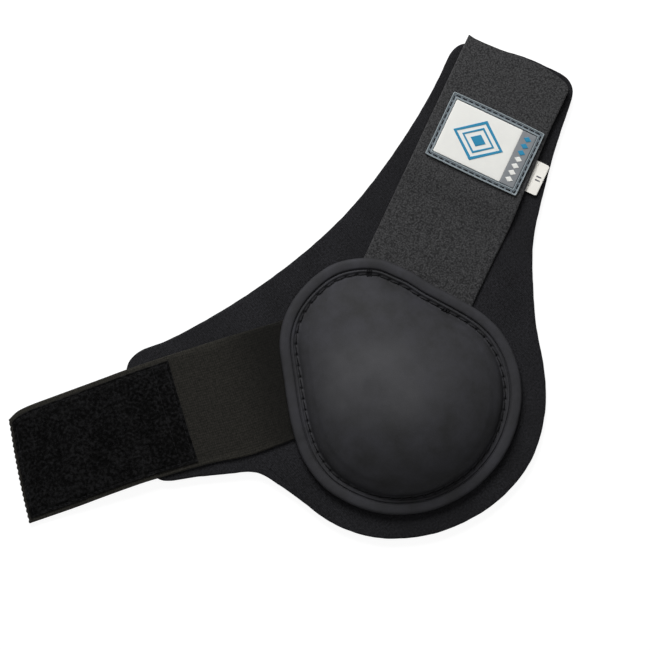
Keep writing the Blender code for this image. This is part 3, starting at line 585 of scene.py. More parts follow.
# %% Heights and folds of the sheet
LINING_TOP = 0.6 * MM
JERSEY_TOP = 5.3 * MM
SEAM_INSET = 8.1 * MM
HOLLOW_INSET = 16.5 * MM
HOLLOW_DEPTH = 18.8 * MM
VALLEY_HALF = 1.8 * MM
VALLEY_DEPTH = 0.9 * MM
HOLLOW_FOOT = SEAM + SEAM_INWARD * (HOLLOW_INSET - SEAM_INSET)


def hollow(points):
    """The sheet domes into the cup by depth * (1 - r^2)^1.15, with r the share of the way to its foot."""
    distance, turn = from_apex(points)
    share = np.clip(distance / reach(HOLLOW_FOOT, turn), 0, 1)
    return HOLLOW_DEPTH * (1 - share**2) ** 1.15


def valley(points):
    """The seam pulls the lining up by depth * (1 + cos(pi * d / half)) / 2 at the distance d from it."""
    distance, turn = from_apex(points)
    off_seam = np.clip((distance - reach(SEAM, turn)) / VALLEY_HALF, -1, 1)
    return VALLEY_DEPTH * (1 + np.cos(math.pi * off_seam)) / 2


def slack(points):
    """The glued jersey isn't quite even: slow waves of a tenth of a millimetre."""
    return field(points[..., 0], points[..., 1], size=19 * MM, seed=5) * 0.11 * MM


def cut_at_folds(line):
    """A closed line as four runs cut at the folds: upper wing, top edge, lower wing, lobe.

    A crossing lies on its step at the share u0 / (u0 - u1), where u is the distance past the fold.
    """
    past = {wing: in_wing(wing, line)[:, 0] > 0 for wing in WINGS}
    run = past["upper_wing"] * 1 + past["lower_wing"] * 2
    first = int(np.flatnonzero((run == 1) & (np.roll(run, 1) != 1))[0])
    line, run = np.roll(line, -first, axis=0), np.roll(run, -first)
    starts = np.flatnonzero(run != np.roll(run, 1))
    crossings = []
    for start in starts:
        wing = "upper_wing" if 1 in (run[start], run[start - 1]) else "lower_wing"
        before, after = in_wing(wing, line[[start - 1, start]])[:, 0]
        crossings.append(line[start - 1] + (line[start] - line[start - 1]) * before / (before - after))
    ends = [*starts[1:], len(line)]
    return [np.vstack([crossings[k], line[starts[k]:ends[k]], crossings[(k + 1) % len(starts)]])
            for k in range(len(starts))]


def spaced(line, shares):
    """An open line's places at these shares of its length."""
    length = np.append(0, np.linalg.norm(np.diff(line, axis=0), axis=1).cumsum())
    return np.stack([np.interp(shares * length[-1], length, line[:, axis]) for axis in (0, 1)], -1)


# How many places each run of a part's edge gets; the runs on a fold get 44.
EDGE_PLACES = {"center": (230, 44, 96, 44), "upper_wing": (270, 44), "lower_wing": (210, 44)}


def edge_of(part, inset, skin):
    """A part's edge moved in by the inset: its places, and which of them lie on a fold.

    Between a fold's ends the edge is a plain upright cut, so there an inset within the skin is none.
    """
    upper, top, lower, lobe = cut_at_folds(OUTLINE + OUTLINE_INWARD * inset)
    runs = {"center": (lobe, upper[[0, -1]], top, lower[[0, -1]]),
            "upper_wing": (upper, upper[[-1, 0]]), "lower_wing": (lower, lower[[-1, 0]])}[part]
    counts = EDGE_PLACES[part]
    points = np.concatenate([spaced(run, np.arange(n) / n) for run, n in zip(runs, counts)])
    on_fold = np.concatenate([(np.arange(n) > 0) & (k % 2 == 1) for k, n in enumerate(counts)])
    depth = np.where(on_fold, max(inset - skin, 0), 0)
    return points + inward(points) * depth[:, None], on_fold


print("runs of the outline:", [len(run) for run in cut_at_folds(OUTLINE)])

# %% Rings of a layer
# EDGES gives each layer's upper face, its cut and its lower face, as places of (inset, height) in mm.
HOLLOW_SHARES = np.linspace(0.07, 0.98, 16)
VALLEY_OFFSETS = np.linspace(-1, 1, 9) * VALLEY_HALF
OUTER_SHARES = np.linspace(0.12, 1, 7)
WING_SHARES = np.concatenate([np.linspace(0.07, 0.72, 9), np.linspace(0.755, 1, 17)])
INSIDE = 2.0 * MM
EDGES = {
    "jersey": ([(2.0, 5.3), (1.0, 5.28), (0.5, 5.20), (0.2, 5.05), (0.05, 4.88)], [],
               [(0.0, 4.76), (0.3, 4.7), (2.0, 4.7)]),
    "core": ([(2.0, 4.7), (0.28, 4.7)], [(0.42, 4.3), (0.34, 3.2), (0.36, 2.1), (0.44, 1.0)],
             [(0.28, 0.6), (2.0, 0.6)]),
    "lining": ([(2.0, 0.6), (0.3, 0.6), (0.0, 0.54)], [],
               [(0.05, 0.36), (0.2, 0.16), (0.5, 0.05), (1.0, 0.01), (2.0, 0.0)]),
}
ROUGH_CUT = 0.07 * MM
CUT_LUMPS = 1.6 * MM


def inner_rings(part, edge):
    """Rings of places from a part's middle out to its edge, and that middle."""
    if part != "center":
        middle = edge.mean(0)
        return middle + WING_SHARES[:, None, None] * (edge - middle), middle
    distance, turn = from_apex(edge)
    seam, foot = reach(SEAM, turn), reach(HOLLOW_FOOT, turn)
    outside = seam + VALLEY_HALF
    rings = [share * foot for share in HOLLOW_SHARES] + [seam + offset for offset in VALLEY_OFFSETS]
    rings += [outside + share * (distance - outside) for share in OUTER_SHARES]
    return APEX + np.array(rings)[:, :, None] * ((edge - APEX) / distance[:, None]), APEX


def sheet_layer(layer, part):
    """One layer of one part as rings: out over the top, round the cut edge, back below to the middle."""
    upper, cap, lower = EDGES[layer]
    skin = max(inset for inset, _ in (cap or upper[-1:])) * MM
    margin = 0.05 * MM * (layer != "core")
    over, middle = inner_rings(part, edge_of(part, INSIDE, skin)[0])
    rings, levels = list(over), [np.full(len(over[0]), upper[0][1] * MM)] * len(over)
    for group, flat in ((upper, upper[0][1]), (cap, None), (lower, lower[-1][1])):
        for inset, level in group:
            ring, on_fold = edge_of(part, inset * MM, skin)
            rough = field(ring[:, 0], ring[:, 1], CUT_LUMPS, seed=8) * ROUGH_CUT
            rough = rough * (~on_fold) * (layer == "core")
            rings.append(ring + inward(ring) * rough[:, None])
            levels.append(np.where(on_fold & (flat is not None), flat or 0, level) * MM)
    rings += list(over[::-1])
    levels += [np.full(len(over[0]), lower[-1][1] * MM)] * len(over)
    plan, level = np.array(rings), np.array(levels)
    plan = np.concatenate([plan.reshape(-1, 2), [middle, middle]])
    level = np.append(level.ravel(), [upper[0][1] * MM, lower[-1][1] * MM])
    raised = slack(plan) * (level > LINING_TOP + margin)
    if part == "center":
        raised = raised + hollow(plan) + valley(plan) * (level < LINING_TOP + 0.01 * MM)
    count, columns = len(rings), len(over[0])
    ring = np.arange(columns)
    faces = [quads(count, columns, closed=True), fan(ring[::-1], count * columns),
             fan((count - 1) * columns + ring, count * columns + 1)]
    return np.column_stack([plan, level + raised]), faces


# %% [markdown]
# ## Finishes of the sheet
# Nylon jersey is a fine knit of columns of small loops, dyed a bluish black. Its loops are about half a
# millimetre wide, too fine for this picture, so the knit is drawn at 0.9 mm. Nylon has a faint sheen at
# grazing angles, and the glued cloth is never quite one shade. The foam at the cut is a touch lighter,
# dull, and full of tiny open cells. A noise or cell texture at scale n / MM has n cells to the
# millimetre. A wave texture repeats every pi / 10 at scale 1, so its scale is that over the pitch.

# %% Knitted cloth
KNIT = 0.9 * MM
LINING_KNIT = 1.3 * MM
ROW_SHARE = 0.8168
WAVE = math.pi / 10


def knitted(name, colour, darker, pitch, height):
    """Knitted nylon: waves along and across make rows of loops, slow noise the dye, fine noise the fuzz.

    A row of loops is a little lower than a loop is wide.
    """
    material, tree, shader, place = new_material(
        name, colour, roughness=0.85, Sheen_Weight=0.08, Sheen_Roughness=0.4, Specular_IOR_Level=0.15)
    shader.inputs["Sheen Tint"].default_value = linear("#9a9ca6")
    columns = add(tree, "TexWave", {"Scale": WAVE / pitch, "Distortion": 0.6, "Detail": 1.0,
                                    "Detail Scale": 2.0},
                  {"Vector": place}, wave_type="BANDS", bands_direction="X", wave_profile="SIN")
    rows = add(tree, "TexWave", {"Scale": WAVE / (ROW_SHARE * pitch), "Distortion": 0.9, "Detail": 1.0,
                                 "Detail Scale": 2.0},
               {"Vector": place}, wave_type="BANDS", bands_direction="Y", wave_profile="SIN")
    loops = add(tree, "Math", links={0: columns.outputs["Fac"], 1: rows.outputs["Fac"]},
                operation="MULTIPLY")
    dye = add(tree, "TexNoise", {"Scale": 0.045 / MM, "Detail": 4.0, "Roughness": 0.6}, {"Vector": place})
    both = add(tree, "Math", {1: 0.55}, {0: loops.outputs[0], 2: dye.outputs["Fac"]},
               operation="MULTIPLY_ADD")
    tint = add(tree, "ValToRGB", links={"Fac": both.outputs[0]})
    tint.color_ramp.elements[0].position, tint.color_ramp.elements[0].color = 0.35, linear(darker)
    tint.color_ramp.elements[1].position, tint.color_ramp.elements[1].color = 1.1, linear(colour)
    bump = add(tree, "Bump", {"Strength": 0.5, "Distance": height}, {"Height": loops.outputs[0]})
    fuzz = add(tree, "TexNoise", {"Scale": 1.3 / MM, "Detail": 2.0}, {"Vector": place})
    lit = add(tree, "MapRange", {"From Min": 0.3, "From Max": 0.7, "To Min": 0.35, "To Max": 1.7},
              {"Value": fuzz.outputs["Fac"]})
    grained = add(tree, "VectorMath", {}, {0: tint.outputs["Color"], "Scale": lit.outputs["Result"]},
                  operation="SCALE")
    tree.links.new(grained.outputs["Vector"], shader.inputs["Base Color"])
    tree.links.new(bump.outputs["Normal"], shader.inputs["Normal"])
    return material


# %% Foam
def foam(name, colour, darker):
    """Foam rubber: round cells 0.8 mm wide, and uneven grit of about 1 mm, as bumps and specks."""
    material, tree, shader, place = new_material(name, colour, roughness=0.95,
                                                 Specular_IOR_Level=0.25)
    cells = add(tree, "TexVoronoi", {"Scale": 1.25 / MM, "Randomness": 1.0}, {"Vector": place})
    grit = add(tree, "TexNoise", {"Scale": 0.9 / MM, "Detail": 3.0}, {"Vector": place})
    tint = add(tree, "Mix", {"A": linear(darker), "B": linear(colour)},
               {"Factor": cells.outputs["Distance"]}, data_type="RGBA")
    depth = add(tree, "Math", links={0: cells.outputs["Distance"], 1: grit.outputs["Fac"]}, operation="ADD")
    bump = add(tree, "Bump", {"Strength": 0.7, "Distance": 0.25 * MM}, {"Height": depth.outputs[0]})
    tree.links.new(tint.outputs["Result"], shader.inputs["Base Color"])
    tree.links.new(bump.outputs["Normal"], shader.inputs["Normal"])
    return material


SHEET_FINISH = {
    "jersey": (knitted("nylon_jersey_laminate", "#232326", "#161618", KNIT, 0.10 * MM), "jersey_cloth"),
    "core": (foam("cut_neoprene_foam", "#313136", "#1b1b1f"), "neoprene"),
    "lining": (knitted("brushed_knit_lining", "#2a2a30", "#17171b", LINING_KNIT, 0.16 * MM),
               "lining_cloth"),
}

# %% The nine pieces of the sheet
LAYER_NODES = {"jersey": "outer_jersey", "core": "neoprene_core", "lining": "inner_lining"}
PARTS = {"center": None, "upper_wing": "upper_wing", "lower_wing": "lower_wing"}


def cut_size(part):
    """A part's width, length and area when flat, by the shoelace formula over its edge."""
    edge, _ = edge_of(part, 0.0, 0.0)
    along = WINGS["lower_wing" if part == "lower_wing" else "upper_wing"][1][:2]
    turned = edge @ np.array([along, [-along[1], along[0]]]).T
    ahead = np.roll(turned, -1, axis=0)
    area = abs((turned[:, 0] * ahead[:, 1] - turned[:, 1] * ahead[:, 0]).sum()) / 2
    return np.ptp(turned, axis=0), area


for layer, (material, slot) in SHEET_FINISH.items():
    for part, wing in PARTS.items():
        piece = mesh_piece(f"{layer}_{part}", *sheet_layer(layer, part))
        dress(piece, material, slot, f"{LAYER_NODES[layer]}_{part}")
        if wing:
            bend(piece, wing, 0.0, FOLD_REACH)
        else:
            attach(piece, "boot_center")
        size, area = cut_size(part)
        print(piece.name, "cut from", (size / MM).round(), "mm, area in cm2:", round(area * 1e4))

# %% [markdown]
# ## The moulded cup
# The cup is thermoformed: leather-look cloth on foam is heated and pressed in a mould, which gives the
# rounded bead at its rim, the narrow ridge inside it and the sunk channel for the seam in one step.
# So it is one surface here: a profile carried round the seam line, then rings that shrink to the apex.
# The dome's height over its foot is (1 - r^2)^e, and a slightly larger e on the side up the leg makes it
# lean as the real one does. Its underside has two pockets for the straps that pass below the rim.

# %% Lines through knots
def through(knots, steps):
    """A smooth line through knots: between p1 and p2 a cubic with the slopes (p2 - p0) / 2, (p3 - p1) / 2."""
    knots = np.asarray(knots, float)
    held = np.vstack([2 * knots[0] - knots[1], knots, 2 * knots[-1] - knots[-2]])
    p0, p1, p2, p3 = held[:-3, None], held[1:-2, None], held[2:-1, None], held[3:, None]
    t = (np.arange(steps) / steps)[:, None]
    line = p1 + (p2 - p0) * t / 2 + (2 * p0 - 5 * p1 + 4 * p2 - p3) * t**2 / 2
    line = line + (3 * p1 - p0 - 3 * p2 + p3) * t**3 / 2
    return np.vstack([line.reshape(-1, knots.shape[1]), knots[-1:]])


# %% Straps below the rim
UPPER_MIDDLE = 15.5 * MM
UPPER_HALF = 29.0 * MM
LOWER_MIDDLE = -25.0 * MM
STRAPS = {
    "upper_wing": {"middle": UPPER_MIDDLE, "half": UPPER_HALF, "top": 7.32 * MM},
    "lower_wing": {"middle": LOWER_MIDDLE, "half": 28.6 * MM, "top": 7.12 * MM},
}
SHEET_FACE = 5.4 * MM
STRAP_SIDE = 3.5 * MM
STRAP_ROOT = -46 * MM
ROOT_REACH = 10 * MM


def over_strap(points):
    """For each place, how far it lies over a strap, from 0 to 1, and that strap's top.

    The cover is 3t^2 - 2t^3 of the way in from beside the strap, times that from its root outwards.
    """
    cover, top = np.zeros(points.shape[:-1]), np.full(points.shape[:-1], SHEET_FACE)
    for wing, strap in STRAPS.items():
        local = in_wing(wing, points)
        aside = np.abs(local[..., 1] - strap["middle"])
        over = smoothstep((strap["half"] + STRAP_SIDE - aside) / STRAP_SIDE)
        over = over * smoothstep((local[..., 0] - STRAP_ROOT) / ROOT_REACH)
        cover, top = np.maximum(cover, over), np.where(over > 0.01, strap["top"], top)
    return cover, top


# %% Cup profile
# RIM_KNOTS runs over the bead, the groove, the ridge and the channel, as places of (inset, height) in mm.
CHANNEL_END = 9.2 * MM
FLANGE_END = 12.5 * MM
DOME_FOOT = 8.7 * MM
APEX_HEIGHT = 32.5 * MM
INNER_HEIGHT = 30.0 * MM
SHOULDER = 0.5 * MM
PAD_EDGE_START = 4.2 * MM
PAD_EDGE_WIDTH = 2.4 * MM
RIM_KNOTS = [
    (0.75, 5.42), (0.22, 5.55), (0.02, 6.10), (0.0, 7.0), (0.04, 8.2), (0.26, 9.1), (0.76, 9.72),
    (1.5, 10.06), (2.5, 10.2), (3.6, 10.17), (4.4, 10.03), (4.92, 9.80), (5.22, 9.45), (5.40, 9.0),
    (5.52, 8.76), (5.64, 8.68), (5.76, 8.76), (5.90, 9.0), (6.08, 9.22), (6.36, 9.36), (6.7, 9.3),
    (7.04, 9.04), (7.38, 8.78), (7.74, 8.65), (8.1, 8.62), (8.6, 8.66), (9.02, 8.82),
]
RIM_PROFILE = through(RIM_KNOTS, 3) * MM
DOME_TURNS = np.concatenate([np.linspace(0.1, 0.9, 27), np.linspace(0.93, math.pi / 2, 17)[:-1]])
INNER_TURNS = np.linspace(0.12, math.pi / 2, 10)[:-1]
print("places of the rim's profile:", len(RIM_PROFILE), "rings of the dome:", len(DOME_TURNS))


# %% Rings of the dome
def rim_line(inset):
    """The line that lies this far in from the rim's outer edge."""
    return SEAM + SEAM_INWARD * (inset - SEAM_INSET)


def round_reach(foot):
    """A plain round about the apex that comes nearest to a foot line: three waves of its reach."""
    distance, turn = from_apex(foot)
    waves = np.stack([np.ones_like(turn), np.cos(turn), np.sin(turn), np.cos(2 * turn), np.sin(2 * turn)], -1)
    return waves @ np.linalg.lstsq(waves, distance, rcond=None)[0]


def dome_ring(turn, foot_inset, foot_level, top_level, shoulder=0.0):
    """A ring of the dome at r = cos(turn): its place and its height.

    Its height over the foot is that of the top times (1 - r^2)^e. The shoulder is a low step about
    5 mm in from the foot, where the pad's edge shows through. Towards the apex the rings turn from
    the foot's own form to a plain round, by 1 - r^2, so that no corner of the rim runs up the dome
    as a crease.
    """
    foot = rim_line(foot_inset)
    away = foot - APEX
    distance = np.linalg.norm(away, axis=1, keepdims=True)
    share = math.cos(turn)
    reached = distance * share**2 + round_reach(foot)[:, None] * (1 - share**2)
    lean = 0.70 + 0.10 * (away / distance)[:, 1]
    height = foot_level + (top_level - shoulder - foot_level) * (1 - share**2) ** lean
    height = height + shoulder * smoothstep((distance[:, 0] * (1 - share) - PAD_EDGE_START) / PAD_EDGE_WIDTH)
    return np.column_stack([APEX + share * reached * away / distance, height])


# %% Cup shell
BEAD_END = 7.6 * MM
BEAD_LIFT = 0.25 * MM
HOLE_START = 7 * MM
HOLE_DEPTH = 1.0 * MM
HOLE_REACH = 0.7 * MM
BELOW_INSETS = (12.5 * MM, 11.8 * MM, 9.0 * MM, 5.0 * MM, 1.6 * MM)


def cup_surface():
    """Rim profile, dome and inside as one stack of closed rings with a point at each end.

    Over a strap the bead is lifted a little and nothing lies lower than the strap's top. Round each
    stitch hole the channel dips by depth * exp(-(d / reach)^2) at the distance d.
    """
    rim = np.stack([np.column_stack([rim_line(inset), np.full(COLUMNS, level)])
                    for inset, level in RIM_PROFILE])
    inset = RIM_PROFILE[:, :1]
    cover, top = over_strap(rim[..., :2])
    rim[..., 2] += cover * BEAD_LIFT * smoothstep((BEAD_END - inset) / (2 * MM))
    rim[..., 2] = np.maximum(rim[..., 2], SHEET_FACE + cover * (top - SHEET_FACE))
    off_hole = (np.arange(COLUMNS) + SAMPLES_PER_STITCH // 2) % SAMPLES_PER_STITCH
    off_hole = (off_hole - SAMPLES_PER_STITCH // 2) * SEAM_STEP
    dent = np.exp(-(off_hole**2 + (inset - SEAM_INSET) ** 2) / HOLE_REACH**2)
    rim[..., 2] -= HOLE_DEPTH * dent * (inset > HOLE_START)
    dome = [dome_ring(turn, CHANNEL_END, DOME_FOOT, APEX_HEIGHT, SHOULDER) for turn in DOME_TURNS]
    inside = [dome_ring(turn, FLANGE_END, SHEET_FACE, INNER_HEIGHT) for turn in INNER_TURNS[::-1]]
    below = np.stack([np.column_stack([rim_line(step), np.full(COLUMNS, SHEET_FACE)])
                      for step in BELOW_INSETS])
    cover, top = over_strap(below[1:, :, :2])
    below[1:, :, 2] += cover * (top - SHEET_FACE)
    rings = np.concatenate([rim, dome, inside, below])
    split = len(rim) + len(dome)
    body = rings.reshape(-1, 3)
    poles = [[*APEX, APEX_HEIGHT], [*APEX, INNER_HEIGHT]]
    ring = np.arange(COLUMNS)
    outer = quads(split, COLUMNS, closed=True)
    inner = quads(len(rings) - split, COLUMNS, closed=True) + split * COLUMNS
    start, end = ring, (len(rings) - 1) * COLUMNS + ring
    join = np.stack([end, np.roll(end, -1), np.roll(start, -1), start], -1)
    faces = [outer, inner, join, fan((split - 1) * COLUMNS + ring, len(body)),
             fan(split * COLUMNS + ring[::-1], len(body) + 1)]
    return np.concatenate([body, poles]), faces


cup = mesh_piece("moulded_cup", *cup_surface())

# %% [markdown]
# The shell's face is a polyurethane coating with a faint leather grain, pressed from the mould: a soft
# dark grey, half matt, with flat pebbles about a millimetre wide. The coating is thinnest and shines
# most where the form is stretched, so its roughness varies slowly. Across the crown of the dome a
# cloudy oval is painted paler: a painted highlight where the lamp lights the dome's top.

# %% Moulded leather look
GRAIN = 1.1 * MM
# A painted highlight lies on the dome's crown: a paler oval, with its middle here and these half axes.
CROWN = (*seen_at((374, 380)), 0.0)
CROWN_LONG, CROWN_SHORT = 50 * MM, 31 * MM
CROWN_SHARES = [(math.cos(VIEW_TURN) / CROWN_LONG, math.sin(VIEW_TURN) / CROWN_LONG, 0.0),
                (-math.sin(VIEW_TURN) / CROWN_SHORT, math.cos(VIEW_TURN) / CROWN_SHORT, 0.0)]


def moulded_leather():
    """Coated cloth: flat cells with fine creases between them, under a soft uneven shine.

    The painted highlight's oval is worked out from the place's shares of its two half axes: 1 at its edge.
    """
    material, tree, shader, place = new_material(
        "moulded_leather_look_cloth", "#353538", roughness=0.68, Specular_IOR_Level=0.08)
    cells = add(tree, "TexVoronoi", {"Scale": 1 / GRAIN, "Randomness": 0.9}, {"Vector": place},
                feature="DISTANCE_TO_EDGE")
    pebble = add(tree, "Math", {1: 0.35}, {0: cells.outputs["Distance"]}, operation="MINIMUM")
    fine = add(tree, "TexNoise", {"Scale": 1.1 / MM, "Detail": 2.0}, {"Vector": place})
    height = add(tree, "Math", {1: 0.5}, {0: fine.outputs["Fac"], 2: pebble.outputs[0]},
                 operation="MULTIPLY_ADD")
    bump = add(tree, "Bump", {"Strength": 0.3, "Distance": 0.12 * MM}, {"Height": height.outputs[0]})
    slow = add(tree, "TexNoise", {"Scale": 0.042 / MM, "Detail": 4.0, "Roughness": 0.6}, {"Vector": place})
    cloud = add(tree, "TexNoise", {"Scale": 0.075 / MM, "Detail": 5.0, "Roughness": 0.65},
                {"Vector": place})
    blotch = add(tree, "MapRange", {"From Min": 0.32, "From Max": 0.68}, {"Value": cloud.outputs["Fac"]})
    tint = add(tree, "Mix", {"A": linear("#303031"), "B": linear("#3a3a3e")},
               {"Factor": blotch.outputs["Result"]}, data_type="RGBA")
    # Painted highlight: paler towards the oval's middle, in cloudy patches, where the lamp lights the crown.
    from_crown = add(tree, "VectorMath", {1: CROWN}, {0: place}, operation="SUBTRACT").outputs["Vector"]
    shares = [add(tree, "VectorMath", {1: direction}, {0: from_crown}, operation="DOT_PRODUCT")
              for direction in CROWN_SHARES]
    plan = add(tree, "CombineXYZ", links={"X": shares[0].outputs["Value"], "Y": shares[1].outputs["Value"]})
    far = add(tree, "VectorMath", links={0: plan.outputs["Vector"]}, operation="LENGTH")
    highlight_fade = add(tree, "MapRange", {"From Min": 1.0, "From Max": 0.15, "To Max": 1.3},
               {"Value": far.outputs["Value"]}, interpolation_type="SMOOTHSTEP")
    painted_highlight = add(tree, "MapRange", {"From Min": 0.3, "From Max": 0.7, "To Min": 0.3, "To Max": 0.95},
                 {"Value": slow.outputs["Fac"]})
    cloudy = add(tree, "Math", links={0: highlight_fade.outputs["Result"], 1: painted_highlight.outputs["Result"]},
                 operation="MULTIPLY", use_clamp=True)
    paler = add(tree, "Mix", {"B": linear("#474749")},
                {"Factor": cloudy.outputs[0], "A": tint.outputs["Result"]}, data_type="RGBA")
    dull = add(tree, "MapRange", {"To Min": 0.62, "To Max": 0.76}, {"Value": slow.outputs["Fac"]})
    tree.links.new(paler.outputs["Result"], shader.inputs["Base Color"])
    tree.links.new(dull.outputs["Result"], shader.inputs["Roughness"])
    tree.links.new(bump.outputs["Normal"], shader.inputs["Normal"])
    return material


dress(cup, moulded_leather(), "cup_leather_look", "cup_shell")
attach(cup, "boot_center")

# %% [markdown]
# ## Sewing the cup on
# A lockstitch: on top, each stitch comes up out of one hole and dives into the next, so the thread
# lies in short arched pieces. They lean a little, because the needle thread is twisted. The bobbin
# thread does the same on the lining. The seam starts and ends with a few stitches on the same spot,
# across the rim.

# %% Stitches
THREAD_RADIUS = 0.25 * MM
BOBBIN_RADIUS = 0.26 * MM
TACK_RADIUS = 0.42 * MM
KNOT_RADIUS = 0.3 * MM
CHANNEL_FLOOR = 8.55 * MM
STITCH_BOWS = np.array([0.0, 0.07, 0.16, 0.3, 0.5, 0.7, 0.84, 0.93, 1.0])


def seam_stitches(level, dive, radius, lean):
    """Each stitch lies at level - dive * |2t - 1|^5, and leans over by its own width."""
    columns = (np.arange(STITCHES)[:, None] + 0.07 + 0.86 * STITCH_BOWS) * SAMPLES_PER_STITCH
    known = np.arange(COLUMNS)
    plan = np.stack([np.interp(columns, known, SEAM[:, axis], period=COLUMNS) for axis in (0, 1)], -1)
    side = np.stack([np.interp(columns, known, SEAM_INWARD[:, axis], period=COLUMNS)
                     for axis in (0, 1)], -1)
    swing = (2 * STITCH_BOWS - 1)[:, None]
    plan = plan + side * swing * lean
    height = np.broadcast_to(level - dive * np.abs(swing[:, 0]) ** 5, columns.shape)
    plump = radius * (1 - 0.25 * np.abs(swing[:, 0]) ** 3)
    return tubes(np.concatenate([plan, height[..., None]], -1), plump, sides=8)


# %% Start and end of the seam
def seam_column(pixel):
    """The seam sample nearest to a pixel of the photograph."""
    return int(np.linalg.norm(SEAM - seen_at(pixel), axis=1).argmin())


TACK = seam_column((369, 280))
KNOT = seam_column((445, 310))


def back_tack():
    """Three threads side by side across the ridge and the groove, following the rim's profile."""
    insets = np.linspace(5.1, 9.1, 12) * MM
    level = np.interp(insets, RIM_PROFILE[:, 0], RIM_PROFILE[:, 1])
    level = np.maximum(level, 8.75 * MM) + 0.16 * MM
    level[[0, -1]] -= 0.8 * MM
    paths = []
    for shift in (-1, 0, 1):
        column = TACK + shift * 2
        plan = SEAM[column] + SEAM_INWARD[column] * (insets - SEAM_INSET)[:, None]
        paths.append(np.column_stack([plan, level]))
    return tubes(paths, TACK_RADIUS, sides=8)


def thread_knot():
    """A short tight coil of two and a half turns, where the thread was tied off along the seam."""
    t = np.linspace(0, 1, 60)
    aside = SEAM_INWARD[KNOT]
    along = np.array([-aside[1], aside[0]])
    turn = t * 5 * math.pi
    plan = SEAM[KNOT] + along * ((t - 0.5) * 3.4 * MM)[:, None]
    plan = plan + aside * (0.55 * MM * np.cos(turn))[:, None]
    level = CHANNEL_FLOOR + 0.55 * MM + 0.4 * MM * np.sin(turn)
    level[[0, -1]] = CHANNEL_FLOOR - 0.1 * MM
    return tubes([np.column_stack([plan, level])], KNOT_RADIUS, sides=8)


# %% Sewing thread
def twisted_thread():
    """Black polyester: its plies show as slanting ridges, 0.75 mm apart, under a silky shine."""
    material, tree, shader, place = new_material(
        "twisted_polyester_thread", "#0b0b0c", roughness=0.65, Specular_IOR_Level=0.12)
    plies = add(tree, "TexWave", {"Scale": WAVE / (0.748 * MM), "Distortion": 1.0}, {"Vector": place},
                wave_type="BANDS", bands_direction="DIAGONAL")
    tint = add(tree, "Mix", {"A": linear("#0c0c0d"), "B": linear("#1b1b1d")},
               {"Factor": plies.outputs["Fac"]}, data_type="RGBA")
    bump = add(tree, "Bump", {"Strength": 0.6, "Distance": 0.12 * MM}, {"Height": plies.outputs["Fac"]})
    tree.links.new(tint.outputs["Result"], shader.inputs["Base Color"])
    tree.links.new(bump.outputs["Normal"], shader.inputs["Normal"])
    return material


# %% The seam round the cup
thread = twisted_thread()
top_stitches = seam_stitches(
    CHANNEL_FLOOR + 0.33 * MM, dive=1.0 * MM, radius=THREAD_RADIUS, lean=0.16 * MM)
seam = mesh_piece("cup_seam_stitches", *together(top_stitches, back_tack(), thread_knot()))
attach(dress(seam, thread, "black_thread", "cup_seam_thread"), "boot_center")
under = mesh_piece("cup_bobbin_stitches", *seam_stitches(
    0.36 * MM, dive=-1.0 * MM, radius=BOBBIN_RADIUS, lean=0.1 * MM))
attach(dress(under, thread, "black_thread", "cup_bobbin_thread"), "boot_center")
print("stitches round the cup:", STITCHES)

# %% [markdown]
# ## Padding in the cup
# Between shell and sheet lies a pad of soft foam, pressed to the shape of the space between them. It is
# the same dome twice, closed round its foot.

# %% Foam pad
PAD_INSET = 13.9 * MM
PAD_TOP = 29.4 * MM
PAD_EDGE = 6.6 * MM
PAD_BOTTOM = JERSEY_TOP + 0.2 * MM


def pad_surface():
    """Rings of the dome above, then rings just over the domed sheet below."""
    above = [dome_ring(turn, PAD_INSET, PAD_EDGE, PAD_TOP) for turn in DOME_TURNS[::2]]
    foot = rim_line(PAD_INSET)
    shares = np.linspace(1, 0.04, 22)
    plan = APEX + shares[:, None, None] * (foot - APEX)
    below = np.concatenate([plan, (PAD_BOTTOM + hollow(plan) + slack(plan))[..., None]], -1)
    rings = np.concatenate([np.array(above)[::-1], below])[:, ::3]
    columns = rings.shape[1]
    ring = np.arange(columns)
    body = rings.reshape(-1, 3)
    poles = [[*APEX, PAD_TOP], [*APEX, PAD_BOTTOM + HOLLOW_DEPTH]]
    faces = [quads(len(rings), columns, closed=True), fan(ring[::-1], len(body)),
             fan((len(rings) - 1) * columns + ring, len(body) + 1)]
    return np.concatenate([body, poles]), faces


pad = mesh_piece("cup_foam_padding", *pad_surface())
dress(pad, foam("soft_grey_foam", "#5c5c60", "#47474b"), "cup_foam", "cup_foam_pad")
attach(pad, "boot_center")

# %% [markdown]
# ## The two straps
# Both straps are sewn in below the cup's rim. Each is woven in one band with firm, slightly thinner
# edges. A band is a flat loop of points across it, carried along the wing. On the boot, the part over
# the fold bends with the wing, and the rest peels off it, so the band is cut there, as in the imported
# model. The webbing's pebbles are part of its shape, about a millimetre wide and less than a tenth high.

# %% Bands
PEEL_LINE = 12.0 * MM
PEEL_REACH = 16.0 * MM
UNDER_SEAM = 2.5 * MM
SELVEDGE = 0.8 * MM


def seam_side(wing, y):
    """How far out along the wing the seam line lies, for places across it: the outer half of the loop."""
    local = in_wing(wing, SEAM)
    outer = local[(SEAM_INWARD @ WINGS[wing][1][:2]) < -0.1]
    outer = outer[np.argsort(outer[:, 1])]
    return np.interp(y, outer[:, 1], outer[:, 0])


def across_places(half, step):
    """Shares from -1 to 1 over a band's width, closer together at its rounded edges."""
    edge = np.array([0.0, 0.04, 0.16, 0.38, 0.8]) * MM / half
    middle = np.linspace(-1 + edge[-1], 1 - edge[-1], round(2 * half / step))
    return np.concatenate([-1 + edge[:-1], middle, 1 - edge[:-1][::-1]])


